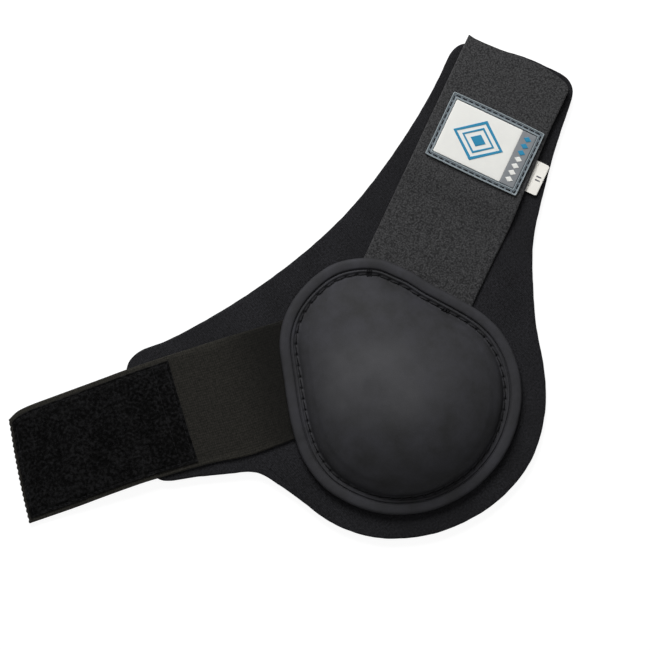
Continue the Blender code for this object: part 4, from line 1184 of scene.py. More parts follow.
def band(wing, rows, shares, middle, half, start, end, bottom, top, relief):
    """A closed band: x(u, v) = start + u (end - start), y = middle + v * half, z between bottom and top.

    Near an edge at the distance t its half thickness is that of a round, h * sqrt(1 - (1 - t / s)^2).
    middle, half, bottom and top are functions of x, start and end of y, and relief of x and y.
    """
    u = np.linspace(0, 1, rows)[:, None]
    y = middle(start(0.0)) + shares * half(start(0.0))
    for _ in range(3):
        x = start(y) + u * (end(y) - start(y))
        y = middle(x) + shares * half(x)
    from_edge = (1 - np.abs(shares)) * half(x)
    round_off = np.sqrt(np.clip(1 - (1 - np.clip(from_edge / SELVEDGE, 0, 1)) ** 2, 0, 1))
    level, thick = (top(x) + bottom(x)) / 2, (top(x) - bottom(x)) / 2 * round_off
    over = np.stack([x, y, level + thick + relief(x, y) * round_off], -1)
    below = np.stack([x, y, level - thick], -1)[:, 1:-1][:, ::-1]
    rings = np.concatenate([over, below], 1)
    count = len(shares)
    columns = rings.shape[1]
    i = np.arange(count - 1)
    mirror = np.concatenate([[0], np.arange(columns - 1, count - 1, -1), [count - 1]])
    cap = np.stack([i, i + 1, mirror[i + 1], mirror[i]], -1)
    first = np.array([[0, 1, mirror[1]], [count - 2, count - 1, mirror[count - 2]]])
    cap = cap[1:-1]
    last = (rows - 1) * columns
    faces = [quads(rows, columns, closed=True), cap[:, ::-1], cap + last, first[:, ::-1], first + last]
    flat = rings.reshape(-1, 3)
    place = flat - middle(flat[:, 0])[:, None] * [0, 1, 0]
    return onto_boot(wing, *flat.T), faces, place


def always(value):
    """A value that is the same everywhere along the band."""
    return lambda x: np.full(np.shape(x), value)


# %% Edges of the upper strap
# UPPER_LOW follows the lower edge, as (x, y) in mm: it runs in by two millimetres towards the end.
UPPER_END = 112.2 * MM
PATCH_RISE = 1.9 * MM
STRAP_SEAT = 5.42 * MM
UPPER_THICK = 1.72 * MM
WEBBING_GRID = 0.52 * MM
UPPER_LOW = through([(-40, -13.5), (10, -13.6), (30, -13.9), (40, -13.6), (50, -13.0), (62, -12.4),
                     (74, -11.8), (86, -11.35), (98, -11.4), (114, -11.5)], 6).T * MM


def upper_rise(x):
    """The strap climbs onto its hook patch between 27 and 43 mm out."""
    return PATCH_RISE * smoothstep((x - 27 * MM) / (16 * MM))


def upper_middle(x):
    """The mean of its two edges."""
    return (UPPER_MIDDLE + UPPER_HALF + np.interp(x, *UPPER_LOW)) / 2


def upper_half(x):
    """Half the distance between its two edges."""
    return (UPPER_MIDDLE + UPPER_HALF - np.interp(x, *UPPER_LOW)) / 2


def upper_end(y):
    """The cut end runs through these distances across it: one corner proud, the other rounded off."""
    shares = np.array([-1.0, -0.985, -0.95, -0.88, -0.78, -0.6, -0.3, 0.05, 0.4, 0.7, 0.88, 1.0])
    places = np.array([105.8, 107.2, 108.9, 110.1, 111.0, 112.0, 112.8, 112.2, 111.2, 110.8, 110.8, 111.3])
    return np.interp((y - upper_middle(UPPER_END)) / upper_half(UPPER_END), shares, places) * MM


# %% Upper strap
PEBBLE_HEIGHT = 0.07 * MM


def pebbles(x, y):
    """Webbing's random pebbles: two grids of easy bumps, dying out on the woven edge."""
    inner = smoothstep((upper_half(x) - 1.0 * MM - np.abs(y - upper_middle(x))) / (1.0 * MM))
    rough = 0.6 * field(x, y, 0.9 * MM, seed=11) + 0.4 * field(x + y, x - y, 1.1 * MM, seed=12)
    return PEBBLE_HEIGHT * rough * inner


upper_shares = across_places(UPPER_HALF, WEBBING_GRID)


def upper_band(rows, start, end):
    """The webbing between two lines across it: its lower face at the seat plus the rise."""
    return band("upper_wing", rows, upper_shares, upper_middle, upper_half, start, end,
                lambda x: STRAP_SEAT + upper_rise(x), lambda x: STRAP_SEAT + UPPER_THICK + upper_rise(x),
                pebbles)


upper_root = mesh_piece("upper_webbing_root", *upper_band(
    rows=48, start=lambda y: seam_side("upper_wing", y) - UNDER_SEAM, end=always(PEEL_LINE)))
upper_free = mesh_piece("upper_webbing", *upper_band(rows=196, start=always(PEEL_LINE), end=upper_end))

# %% Edges of the lower strap
# Both edges as (x, y) in mm. The sewn patch holds the elastic in, so it is narrower towards the tip.
LOWER_END = 129.1 * MM
LOWER_SKEW = 3.5 * MM
LOWER_CROWN = 0.65 * MM
TIP_FOLD = 69.8 * MM
TIP_REACH = 14.0 * MM
TIP_DROOP = 3.7 * MM
LOWER_THICK = 1.5 * MM
TOOTH = 2.7 * MM
TOOTH_DEPTH = 0.55 * MM
HIGH_EDGE = through([(-60, -51.6), (-18, -52.4), (0, -53.3), (26, -54.2), (45, -54.7), (62, -54.9),
                     (78, -54.6), (100, -54.3), (112, -54.1), (118, -53.6), (121, -52.9), (125, -51.0),
                     (133, -47.0)], 6) * MM
LOW_EDGE = through([(-60, 3.6), (-20, 4.0), (0, 4.7), (14, 5.0), (24, 4.4), (36, 2.6), (50, 1.4), (70, 0.4),
                    (80, 0.3), (95, 0.5), (110, 0.85), (133, 0.8)], 6) * MM


def lower_middle(x):
    """The mean of its two edges."""
    return (np.interp(x, *LOW_EDGE.T) + np.interp(x, *HIGH_EDGE.T)) / 2


def lower_half(x):
    """Half the distance between its two edges."""
    return (np.interp(x, *LOW_EDGE.T) - np.interp(x, *HIGH_EDGE.T)) / 2


def droop(x):
    """Past the sheet's end the tip sinks towards the floor, by 3t^2 - 2t^3."""
    return -TIP_DROOP * smoothstep((x - TIP_FOLD) / (LOWER_END - TIP_FOLD))


def lower_end(y):
    """The pinked end: a slanting line, fullest in the middle, with a triangle wave of teeth."""
    across = np.clip((y - lower_middle(LOWER_END)) / lower_half(LOWER_END), -1, 1)
    tooth = np.abs(((y / TOOTH) % 1) * 2 - 1) - 0.5
    return LOWER_END + LOWER_SKEW * across + LOWER_CROWN * (1 - across**2) + TOOTH_DEPTH * tooth


# %% Lower strap
RIB = 1.6 * MM
LOWER_HALF = 28.0 * MM


def elastic_ribs(x, y):
    """Rubber cords run along the strap between rows of yarn, as cosine ribs, and soft waves cross them."""
    ribs = np.cos(2 * math.pi * y / RIB)
    return (0.02 * ribs + 0.06 * field(x, y, 2.2 * MM, seed=21)) * MM


def lower_band(rows, start, end, step):
    """The elastic between two lines across it: its lower face at the seat plus the droop."""
    shares = across_places(LOWER_HALF, step)
    return band("lower_wing", rows, shares, lower_middle, lower_half, start, end,
                lambda x: STRAP_SEAT + droop(x), lambda x: STRAP_SEAT + LOWER_THICK + droop(x),
                elastic_ribs)


lower_root = mesh_piece("lower_elastic_root", *lower_band(
    rows=44, start=lambda y: seam_side("lower_wing", y) - UNDER_SEAM, end=always(PEEL_LINE),
    step=0.55 * MM))
lower_free = mesh_piece("lower_elastic", *lower_band(
    rows=100, start=always(PEEL_LINE), end=always(TIP_FOLD), step=0.55 * MM))
lower_tip = mesh_piece("lower_elastic_tip", *lower_band(
    rows=104, start=always(TIP_FOLD), end=lower_end, step=0.45 * MM))

# %% [markdown]
# Webbing of textured polyester looks pebbled: light specks where a crimped yarn bulges, dark pits
# between, and a smoother edge. The elastic is a looser weave of brownish black yarn over rubber
# cords, so fine ribs run along it. Both are drawn at about twice the real yarn width, to show at all.

# %% Woven finishes
def webbing():
    """Bulked polyester: cells of 0.8 mm for the pebbles and noise for the fibres in them."""
    material, tree, shader, place = new_material(
        "pebbled_polyester_webbing", "#39393a", roughness=0.85, Specular_IOR_Level=0.2, Sheen_Weight=0.08,
        Sheen_Roughness=0.5)
    bulge = add(tree, "TexVoronoi", {"Scale": 1.25 / MM, "Randomness": 0.8}, {"Vector": place},
                feature="SMOOTH_F1")
    fibre = add(tree, "TexNoise", {"Scale": 1.3 / MM, "Detail": 4.0, "Roughness": 0.7}, {"Vector": place})
    mixed = add(tree, "Math", {1: -0.75}, {0: bulge.outputs["Distance"], 2: fibre.outputs["Fac"]},
                operation="MULTIPLY_ADD")
    tint = add(tree, "ValToRGB", links={"Fac": mixed.outputs[0]})
    tint.color_ramp.elements[0].position, tint.color_ramp.elements[0].color = 0.0, linear("#212122")
    tint.color_ramp.elements[1].position, tint.color_ramp.elements[1].color = 0.46, linear("#464647")
    bump = add(tree, "Bump", {"Strength": 0.9, "Distance": 0.28 * MM}, {"Height": mixed.outputs[0]})
    tree.links.new(tint.outputs["Color"], shader.inputs["Base Color"])
    tree.links.new(bump.outputs["Normal"], shader.inputs["Normal"])
    return material


# %% Ribbed elastic
def elastic():
    """Ribs of 1.26 mm along the strap, weft lines of 1.05 mm across it, and light specks.

    It is darkened towards the cup by 3t^2 - 2t^3 along it, a painted shade where it dips under the
    rim, and it is paler at its woven edges, from 25.8 mm off its middle. That distance grows by 0.018
    of the way along.
    """
    material, tree, shader, place = new_material(
        "ribbed_elastic_webbing", "#23211d", roughness=0.88, Specular_IOR_Level=0.15, Sheen_Weight=0.06)
    ribs = add(tree, "TexWave", {"Scale": WAVE / (1.2566 * MM), "Distortion": 2.2, "Detail": 3.0,
                                 "Detail Scale": 4.0},
               {"Vector": place}, wave_type="BANDS", bands_direction="Y")
    weft = add(tree, "TexWave", {"Scale": WAVE / (1.0472 * MM), "Distortion": 3.0, "Detail": 3.0,
                                 "Detail Scale": 4.0},
               {"Vector": place}, wave_type="BANDS", bands_direction="X")
    grid = add(tree, "Math", links={0: ribs.outputs["Fac"], 1: weft.outputs["Fac"]}, operation="MULTIPLY")
    speck = add(tree, "TexNoise", {"Scale": 1.1 / MM, "Detail": 3.0, "Roughness": 0.8}, {"Vector": place})
    mixed = add(tree, "Math", {1: 0.22}, {0: grid.outputs[0], 2: speck.outputs["Fac"]},
                operation="MULTIPLY_ADD")
    tint = add(tree, "ValToRGB", links={"Fac": mixed.outputs[0]})
    tint.color_ramp.elements[0].position, tint.color_ramp.elements[0].color = 0.36, linear("#11110e")
    tint.color_ramp.elements[1].position, tint.color_ramp.elements[1].color = 0.84, linear("#2f2d29")
    along = add(tree, "SeparateXYZ", links={"Vector": place})
    # Painted shade: the elastic is darker towards the cup, where it dips under the rim.
    painted_shade = add(tree, "MapRange", {"From Min": -9 * MM, "From Max": 22 * MM, "To Min": 0.38, "To Max": 1.0},
                 {"Value": along.outputs["X"]}, interpolation_type="SMOOTHSTEP")
    across = add(tree, "Math", links={0: along.outputs["Y"]}, operation="ABSOLUTE")
    wide = add(tree, "Math", {1: 0.018}, {0: along.outputs["X"], 2: across.outputs[0]},
               operation="MULTIPLY_ADD")
    selvedge = add(tree, "MapRange", {"From Min": 25.8 * MM, "From Max": 28.0 * MM, "To Min": 1.0,
                                      "To Max": 1.3}, {"Value": wide.outputs[0]})
    level = add(tree, "Math", links={0: painted_shade.outputs["Result"], 1: selvedge.outputs["Result"]},
                operation="MULTIPLY")
    shaded = add(tree, "VectorMath", {}, {0: tint.outputs["Color"], "Scale": level.outputs[0]},
                 operation="SCALE")
    bump = add(tree, "Bump", {"Strength": 0.8, "Distance": 0.2 * MM}, {"Height": mixed.outputs[0]})
    tree.links.new(shaded.outputs["Vector"], shader.inputs["Base Color"])
    tree.links.new(bump.outputs["Normal"], shader.inputs["Normal"])
    return material


# %% The straps' cloth and bodies
strap_cloth, elastic_cloth = webbing(), elastic()
dress(upper_root, strap_cloth, "upper_webbing", "upper_strap_root", "upper_strap_base")
dress(upper_free, strap_cloth, "upper_webbing", "upper_strap")
dress(lower_root, elastic_cloth, "lower_elastic", "lower_strap_root", "lower_strap_base")
dress(lower_free, elastic_cloth, "lower_elastic", "lower_strap")
dress(lower_tip, elastic_cloth, "lower_elastic", "lower_strap_tip")
bend(upper_root, "upper_wing", 0.0, FOLD_REACH)
bend(upper_free, "upper_wing", PEEL_LINE, PEEL_LINE + PEEL_REACH)
bend(lower_root, "lower_wing", 0.0, FOLD_REACH)
bend(lower_free, "lower_wing", PEEL_LINE, PEEL_LINE + PEEL_REACH)
bend(lower_tip, "lower_wing", TIP_FOLD, TIP_FOLD + TIP_REACH)
for strap, width, near, far in (
        (upper_root, 58, seam_side("upper_wing", UPPER_MIDDLE) - UNDER_SEAM, PEEL_LINE),
        (upper_free, 58, PEEL_LINE, UPPER_END),
        (lower_root, 57, seam_side("lower_wing", LOWER_MIDDLE) - UNDER_SEAM, PEEL_LINE),
        (lower_free, 56, PEEL_LINE, TIP_FOLD),
        (lower_tip, 54, TIP_FOLD, LOWER_END)):
    print(strap.name, "cut", width, "mm wide and", round(float(far - near) / MM), "mm long")

# %% [markdown]
# ## The loop patch
# The fuzzy half of a hook and loop closure is knitted with thousands of standing loops, which are then
# brushed into a mat. Here that mat is a padded slab with an uneven top, and some thousands of small
# bent fibres stand out of it. A seam runs round the patch, with a second row at its inner end, and
# presses it down. The patch crosses the tip's fold, so it is two pieces.

# %% The patch's edges
PILE_START = 42.7 * MM
PILE_END = 127.6 * MM
PILE_MARGIN = 2.3 * MM
PILE_SLANT = 1.3 * MM
PILE_GRID = 0.62 * MM
PILE_HALF = 25.8 * MM
PILE_HEIGHT = 1.05 * MM
END_ROWS = (1.6 * MM, 8.6 * MM)
SIDE_ROW = 1.3 * MM


def pile_start(y):
    """The patch's inner end is sewn at a slight slant and bows a little."""
    across = (y - lower_middle(PILE_START)) / lower_half(PILE_START)
    return PILE_START + PILE_SLANT * across + 0.4 * MM * (1 - across**2)


def pile_end(y):
    """The patch ends a little short of the strap's cut end, in step with it."""
    return lower_end(y) - 1.6 * MM


def pile_half(x):
    """Half the patch's width: the strap's less a margin."""
    return lower_half(x) - PILE_MARGIN


def strap_face(x):
    """The height of the lower strap's outer face."""
    return STRAP_SEAT + LOWER_THICK + droop(x)


# %% The brushed mat
def pressed(x, y):
    """How deep the seams press the pile: exp(-(d / 0.85 mm)^2) at d from the nearest row of stitches."""
    side = pile_half(x) - np.abs(y - lower_middle(x))
    rows = [side - SIDE_ROW, x - pile_start(y) - END_ROWS[0], x - pile_start(y) - END_ROWS[1],
            pile_end(y) - x - END_ROWS[0]]
    nearest = np.min(np.abs(np.stack(np.broadcast_arrays(*rows))), axis=0)
    return np.exp(-((nearest / (0.85 * MM)) ** 2))


def mat(x, y):
    """The mat's uneven height: lumps of brushed loops, less where a seam presses."""
    lumps = 0.20 * field(x, y, 1.7 * MM, seed=31) + 0.13 * field(x - y, x + y, 0.9 * MM, seed=32)
    return lumps * MM - 0.62 * MM * pressed(x, y)


def pile_slab(rows, start, end):
    """The mat as a band on the strap's face."""
    return band("lower_wing", rows, across_places(PILE_HALF, PILE_GRID), lower_middle, pile_half,
                start, end, lambda x: strap_face(x) - 0.1 * MM, lambda x: strap_face(x) + PILE_HEIGHT, mat)


# %% Fibres
FIBRES = 5200
FIBRE_RADIUS = 0.085 * MM


def pile_fibres(low, high, count, seed):
    """Bent fibres: each leaves the mat, leans over, and curls back by a third of its length."""
    chance = np.random.default_rng(seed)
    x = chance.uniform(low, high, count)
    y = lower_middle(x) + chance.uniform(-1, 1, count) * (pile_half(x) - 0.4 * MM)
    keep = (x > pile_start(y) + 0.5 * MM) & (x < pile_end(y) - 0.4 * MM) & (pressed(x, y) < 0.4)
    x, y = x[keep], y[keep]
    heading = chance.uniform(0, 2 * math.pi, len(x))
    size = chance.uniform(0.6, 1.25, len(x)) * MM
    t = np.array([0.0, 0.4, 0.75, 1.0])
    out = size[:, None] * (0.9 * t + 0.25 * np.sin(2 * t))
    rise = size[:, None] * 0.55 * np.sin(math.pi * t * 0.85)
    foot = strap_face(x) + 0.9 * MM + mat(x, y)
    px = x[:, None] + out * np.cos(heading)[:, None]
    py = y[:, None] + out * np.sin(heading)[:, None]
    paths = onto_boot("lower_wing", px, py, foot[:, None] + rise)
    ahead = onto_boot("lower_wing", -np.sin(heading), np.cos(heading), 0.0) - WINGS["lower_wing"][0]
    body, faces = tubes(paths, FIBRE_RADIUS, sides=3, side=ahead[:, None])
    local = in_wing("lower_wing", body)
    return body, faces, np.column_stack([local[:, 0], local[:, 1] - lower_middle(local[:, 0]), body[:, 2]])


def patch(slab, fibres):
    """Slab and fibres as one body, with their places on the flat patch."""
    body, faces = together(slab[:2], fibres[:2])
    return body, faces, np.concatenate([slab[2], fibres[2]])


# %% Both parts of the patch
inner_share = (TIP_FOLD - PILE_START) / (PILE_END - PILE_START)
inner_pile = mesh_piece("loop_patch_inner_pile", *patch(
    pile_slab(rows=44, start=pile_start, end=always(TIP_FOLD)),
    pile_fibres(PILE_START - PILE_SLANT, TIP_FOLD - 1.2 * MM, round(FIBRES * inner_share), seed=41)),
    sharp=80)
outer_pile = mesh_piece("loop_patch_outer_pile", *patch(
    pile_slab(rows=92, start=always(TIP_FOLD), end=pile_end),
    pile_fibres(TIP_FOLD + 1.2 * MM, PILE_END + 3 * MM, round(FIBRES * (1 - inner_share)), seed=42)),
    sharp=80)


# %% Brushed nylon
def brushed_pile():
    """Nylon loops: black, with mottled lighter tufts where the brushed fibres catch the light."""
    material, tree, shader, place = new_material(
        "brushed_nylon_loop_pile", "#0b0b0c", roughness=0.9, Specular_IOR_Level=0.08, Sheen_Weight=0.03,
        Sheen_Roughness=0.5)
    tuft = add(tree, "TexNoise", {"Scale": 0.62 / MM, "Detail": 3.0, "Roughness": 0.7}, {"Vector": place})
    patchy = add(tree, "TexNoise", {"Scale": 0.09 / MM, "Detail": 2.0}, {"Vector": place})
    mixed = add(tree, "Math", {1: 0.25}, {0: patchy.outputs["Fac"], 2: tuft.outputs["Fac"]},
                operation="MULTIPLY_ADD")
    tint = add(tree, "ValToRGB", links={"Fac": mixed.outputs[0]})
    tint.color_ramp.elements[0].position, tint.color_ramp.elements[0].color = 0.56, linear("#020202")
    tint.color_ramp.elements[1].position, tint.color_ramp.elements[1].color = 0.78, linear("#1b1b1c")
    bump = add(tree, "Bump", {"Strength": 0.9, "Distance": 0.3 * MM}, {"Height": tuft.outputs["Fac"]})
    tree.links.new(tint.outputs["Color"], shader.inputs["Base Color"])
    tree.links.new(bump.outputs["Normal"], shader.inputs["Normal"])
    return material


pile_cloth = brushed_pile()
dress(inner_pile, pile_cloth, "loop_pile", "loop_patch_inner")
dress(outer_pile, pile_cloth, "loop_pile", "loop_patch_outer")
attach(inner_pile, "lower_strap")
bend(outer_pile, "lower_wing", TIP_FOLD, TIP_FOLD + TIP_REACH)

# %% Seams of the loop patch
PATCH_STITCH = 3.0 * MM


def stitch_row(wing, line, face, pitch, radius, lift):
    """Stitches along an open line on a face: each rises over 0.85 of the pitch and dives at its ends."""
    length = np.linalg.norm(np.diff(line, axis=0), axis=1).sum()
    count = max(round(length / pitch), 1)
    t = np.array([0.0, 0.12, 0.3, 0.5, 0.7, 0.88, 1.0])
    shares = (np.arange(count)[:, None] + 0.08 + 0.84 * t) / count
    plan = spaced(line, shares.ravel())
    level = face(plan[:, 0], plan[:, 1]).reshape(shares.shape) + lift - 2.2 * radius * np.abs(2 * t - 1) ** 4
    return tubes(onto_boot(wing, *plan.T, level.ravel()).reshape(*shares.shape, 3), radius, sides=6)


def pressed_face(x, y):
    """The pile's top, with its seams pressed in."""
    return strap_face(x) + PILE_HEIGHT + mat(x, y)


def patch_rows():
    """The patch's rows of stitches: both ends, the second row at the inner end, and both sides."""
    shares = np.linspace(-1, 1, 25)
    inset = PILE_MARGIN + SIDE_ROW
    y = lower_middle(PILE_START) + shares * (lower_half(PILE_START) - inset)
    rows = [np.column_stack([pile_start(y) + offset, y]) for offset in END_ROWS]
    sides = []
    for sign in (-1, 1):
        y0 = lower_middle(PILE_START) + sign * (lower_half(PILE_START) - inset)
        x = np.linspace(float(pile_start(y0)) + 2.2 * MM, PILE_END - 2.4 * MM, 60)
        sides.append(np.column_stack([x, lower_middle(x) + sign * (lower_half(x) - inset)]))
    y = lower_middle(PILE_END) + shares * (lower_half(PILE_END) - inset)
    sides.append(np.column_stack([lower_end(y) - 3.2 * MM, y]))
    return rows, sides


end_rows, side_rows = patch_rows()
held_in = [line[line[:, 0] < TIP_FOLD - 0.5 * MM] for line in side_rows[:2]] + end_rows
held_out = [line[line[:, 0] > TIP_FOLD + 0.5 * MM] for line in side_rows]
for name, lines in (("loop_patch_inner_seam", held_in), ("loop_patch_outer_seam", held_out)):
    rows = together(*(stitch_row("lower_wing", line, pressed_face, PATCH_STITCH, radius=0.2 * MM,
                                 lift=0.16 * MM) for line in lines))
    stitches = mesh_piece(name, *rows)
    stitches.data.materials.append(thread)
    if name == "loop_patch_inner_seam":
        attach(stitches, "lower_strap")
    else:
        bend(stitches, "lower_wing", TIP_FOLD, TIP_FOLD + TIP_REACH)

# %% [markdown]
# ## The hook patches
# The scratchy half is woven with rows of stiff nylon monofilament loops, each cut open to a hook. Each
# hook is one thin tube here: straight down from the backing, then round in a half circle. A real patch
# has about 60 to the square centimetre. Half of that, with thicker hooks, looks as dense.

# %% Hooks
HOOK_PITCH = 1.75 * MM
HOOK_RADIUS = 0.15 * MM
HOOK_REACH = 1.18 * MM
HOOK_BOW = 0.33 * MM
BACKING = 0.45 * MM


def hook_field(wing, low, high, middle, half, face):
    """Rows of hooks hanging from a backing's lower face; every other row curls the other way."""
    columns = np.arange(low, high, HOOK_PITCH)
    rows = np.arange(-half, half, HOOK_PITCH)
    x, y = np.meshgrid(columns, rows, indexing="ij")
    sign = np.where(np.arange(len(rows)) % 2, 1.0, -1.0) * np.ones_like(x)
    x, y, sign = x.ravel(), y.ravel() + middle(x.ravel()), sign.ravel()
    curl = np.linspace(0, math.pi * 1.05, 5)
    out = np.concatenate([[0.0], HOOK_BOW * (1 - np.cos(curl))])
    drop = np.concatenate([[0.0], HOOK_REACH - HOOK_BOW + HOOK_BOW * np.sin(curl)])
    hooks = onto_boot(wing, x[:, None] + sign[:, None] * out, y[:, None], face(x)[:, None] - drop)
    return tubes(hooks, HOOK_RADIUS, sides=4, side=WINGS[wing][2])


def hook_patch(name, wing, low, high, middle, half, above):
    """Backing and hooks as one piece; above is the strap's lower face, as a function of x."""
    shares = across_places(half, 2.0 * MM)
    backing = band(wing, 40, shares, middle, always(half), always(low), always(high),
                   lambda x: above(x) - 0.05 * MM - BACKING, lambda x: above(x) - 0.05 * MM,
                   lambda x, y: np.zeros_like(x))
    hooks = hook_field(wing, low + 1.2 * MM, high - 1.6 * MM, middle, half - 1.4 * MM,
                       lambda x: above(x) - BACKING)
    return mesh_piece(name, *together(backing[:2], hooks))


# %% Hook nylon, and both patches
def hook_nylon():
    """Nylon monofilament and its woven backing: black, slightly clear, so its shine is soft."""
    material, tree, shader, place = new_material(
        "nylon_monofilament_hooks", "#1b1b1c", roughness=0.42, Specular_IOR_Level=0.5)
    weave = add(tree, "TexVoronoi", {"Scale": 0.9 / MM}, {"Vector": place})
    tint = add(tree, "Mix", {"A": linear("#131314"), "B": linear("#262628")},
               {"Factor": weave.outputs["Distance"]}, data_type="RGBA")
    bump = add(tree, "Bump", {"Strength": 0.4, "Distance": 0.1 * MM}, {"Height": weave.outputs["Distance"]})
    tree.links.new(tint.outputs["Result"], shader.inputs["Base Color"])
    tree.links.new(bump.outputs["Normal"], shader.inputs["Normal"])
    return material


hooks_finish = hook_nylon()
upper_hooks = hook_patch(
    "upper_hooks", "upper_wing", low=45.0 * MM, high=109.0 * MM, middle=always(UPPER_MIDDLE),
    half=25.0 * MM, above=lambda x: STRAP_SEAT + upper_rise(x))
lower_hooks = hook_patch(
    "lower_hooks", "lower_wing", low=78.0 * MM, high=123.6 * MM, middle=lower_middle,
    half=24.0 * MM, above=lambda x: STRAP_SEAT + droop(x))
dress(upper_hooks, hooks_finish, "hook_nylon", "upper_hook_patch")
dress(lower_hooks, hooks_finish, "hook_nylon", "lower_hook_patch")
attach(upper_hooks, "upper_strap")
bend(lower_hooks, "lower_wing", TIP_FOLD, TIP_FOLD + TIP_REACH)

# %% [markdown]
# ## The badge
# Soft rubber badges are cast in a flat mould, one colour after another, and sewn on through a groove in
# their border. The base is one rounded rectangle whose profile makes two ridges with the groove between
# them, then the sunk middle. The panel and the strip fill that middle. Plain nested diamonds lie on the
# panel, and a row of small ones on the strip.

# %% Flat mouldings
BADGE_MIDDLE = (66.2 * MM, 14.7 * MM)
BADGE_HALF = (16.75 * MM, 24.5 * MM)
BADGE_CORNER = 0.4 * MM
BADGE_BOW = 0.25 * MM
FIELD_CORNER = 0.3 * MM
STRIP_WIDTH = 10.2 * MM
BORDER = 2.9 * MM
CORNER_PLACES = 7
BOX_PLACES = 192
STRAP_TOP = STRAP_SEAT + UPPER_THICK + PATCH_RISE


def rounded_box(middle, half, corner, inset, bulge=0.0):
    """A closed rectangle with round corners, moved in by the inset; a bulge bows its long sides out."""
    quarter = np.linspace(0, math.pi / 2, CORNER_PLACES)
    turns = np.concatenate([quarter + k * math.pi / 2 for k in range(4)])
    radius = max(corner - inset, 0.12 * MM)
    core = np.array(half) - inset - radius
    sign = np.repeat(np.array([(1, 1), (-1, 1), (-1, -1), (1, -1)]), CORNER_PLACES, axis=0)
    line = sign * core + radius * np.stack([np.cos(turns), np.sin(turns)], -1)
    closed = np.vstack([line, line[:1]])
    line = spaced(closed, np.arange(BOX_PLACES) / BOX_PLACES)
    line[:, 0] += bulge * (1 - (line[:, 1] / half[1]) ** 2) * np.sign(line[:, 0])
    return np.array(middle) + line


def moulded(wing, outline, profile):
    """A flat moulding: its outline at each inset and height of a profile, closed by a point at each end.

    outline(inset) gives the closed line, and the profile's heights run from the foot up and inwards.
    """
    rings = np.stack([np.column_stack([outline(inset * MM), np.full(len(outline(0.0)), level)])
                      for inset, level in profile])
    columns = rings.shape[1]
    ring = np.arange(columns)
    body = rings.reshape(-1, 3)
    poles = np.stack([rings[0].mean(0), rings[-1].mean(0)])
    faces = [quads(len(rings), columns, closed=True), fan(ring[::-1], len(body)),
             fan((len(rings) - 1) * columns + ring, len(body) + 1)]
    flat = np.concatenate([body, poles])
    return onto_boot(wing, *flat.T), faces


def badge_outline(inset):
    """The badge's edge, moved in by the inset."""
    return rounded_box(BADGE_MIDDLE, BADGE_HALF, BADGE_CORNER, inset, BADGE_BOW)


# %% Badge base, panel and strip
# Both profiles are places of (inset, height over the strap) in mm, from the foot up and inwards.
BADGE_KNOTS = [(0.12, 0.12), (0.0, 0.3), (0.0, 1.2), (0.08, 1.46), (0.28, 1.58), (0.48, 1.5), (0.6, 1.36),
               (0.8, 1.25), (1.3, 1.22), (1.8, 1.25), (2.02, 1.34), (2.16, 1.46), (2.36, 1.52), (2.56, 1.44),
               (2.68, 1.2), (2.78, 0.9), (2.82, 0.75)]
badge_profile = [(inset, STRAP_TOP + level * MM) for inset, level in through(BADGE_KNOTS, 3)]
badge = mesh_piece("badge_border", *moulded("upper_wing", badge_outline, badge_profile))

field_half = (BADGE_HALF[0] - BORDER, BADGE_HALF[1] - BORDER)
low_side = BADGE_MIDDLE[1] - field_half[1]
strip_middle = (BADGE_MIDDLE[0], low_side + STRIP_WIDTH / 2 - BORDER / 2)
strip_half = (field_half[0], (STRIP_WIDTH - BORDER) / 2)
panel_low = strip_middle[1] + strip_half[1] + 0.08 * MM
panel_half = (field_half[0], (BADGE_MIDDLE[1] + field_half[1] - panel_low) / 2)
panel_middle = (BADGE_MIDDLE[0], panel_low + panel_half[1])
FIELD_KNOTS = [(0.0, 0.72), (0.0, 1.10), (0.12, 1.22), (0.4, 1.25), (2.0, 1.26)]
field_profile = [(inset, STRAP_TOP + level * MM) for inset, level in FIELD_KNOTS]
panel = mesh_piece("badge_panel_plain", *moulded(
    "upper_wing", lambda inset: rounded_box(panel_middle, panel_half, FIELD_CORNER, inset), field_profile))
strip = mesh_piece("badge_strip_plain", *moulded(
    "upper_wing", lambda inset: rounded_box(strip_middle, strip_half, FIELD_CORNER, inset), field_profile))

# %% Plain diamonds
FIELD_TOP = STRAP_TOP + 1.26 * MM
DIAMOND_RISE = 0.24 * MM
DIAMOND_PLACES = 64


def diamond(middle, half, inset):
    """A closed line with four corners, |x| / a + |y| / b = 1, with a and b less the inset."""
    t = np.arange(DIAMOND_PLACES) / DIAMOND_PLACES * 4
    corner = np.floor(t).astype(int)
    share = (t - corner)[:, None]
    corners = np.array([(1, 0), (0, 1), (-1, 0), (0, -1), (1, 0)]) * (np.array(half) - inset)
    return np.array(middle) + corners[corner] * (1 - share) + corners[corner + 1] * share


def diamond_frame(middle, half, width):
    """A raised diamond outline: out, up, across and down again, closed through its foot."""
    foot, top = FIELD_TOP - 0.05 * MM, FIELD_TOP + DIAMOND_RISE
    profile = [(0.0, foot), (0.05 * MM, top - 0.06 * MM), (0.14 * MM, top), (width - 0.14 * MM, top),
               (width - 0.05 * MM, top - 0.06 * MM), (width, foot)]
    rings = np.stack([np.column_stack([diamond(middle, half, inset), np.full(DIAMOND_PLACES, level)])
                      for inset, level in profile])
    faces = quads(len(rings), DIAMOND_PLACES, closed=True)
    ring = np.arange(DIAMOND_PLACES)
    last = (len(rings) - 1) * DIAMOND_PLACES + ring
    join = np.stack([last, np.roll(last, -1), np.roll(ring, -1), ring], -1)
    return onto_boot("upper_wing", *rings.reshape(-1, 3).T), [faces, join]


def diamond_stud(middle, half):
    """A small solid diamond, raised with eased edges."""
    top = FIELD_TOP + DIAMOND_RISE
    profile = [(0.0, FIELD_TOP - 0.05 * MM), (0.05, top - 0.06 * MM), (0.2, top), (0.5, top)]
    return moulded("upper_wing", lambda inset: diamond(middle, half, inset), profile)


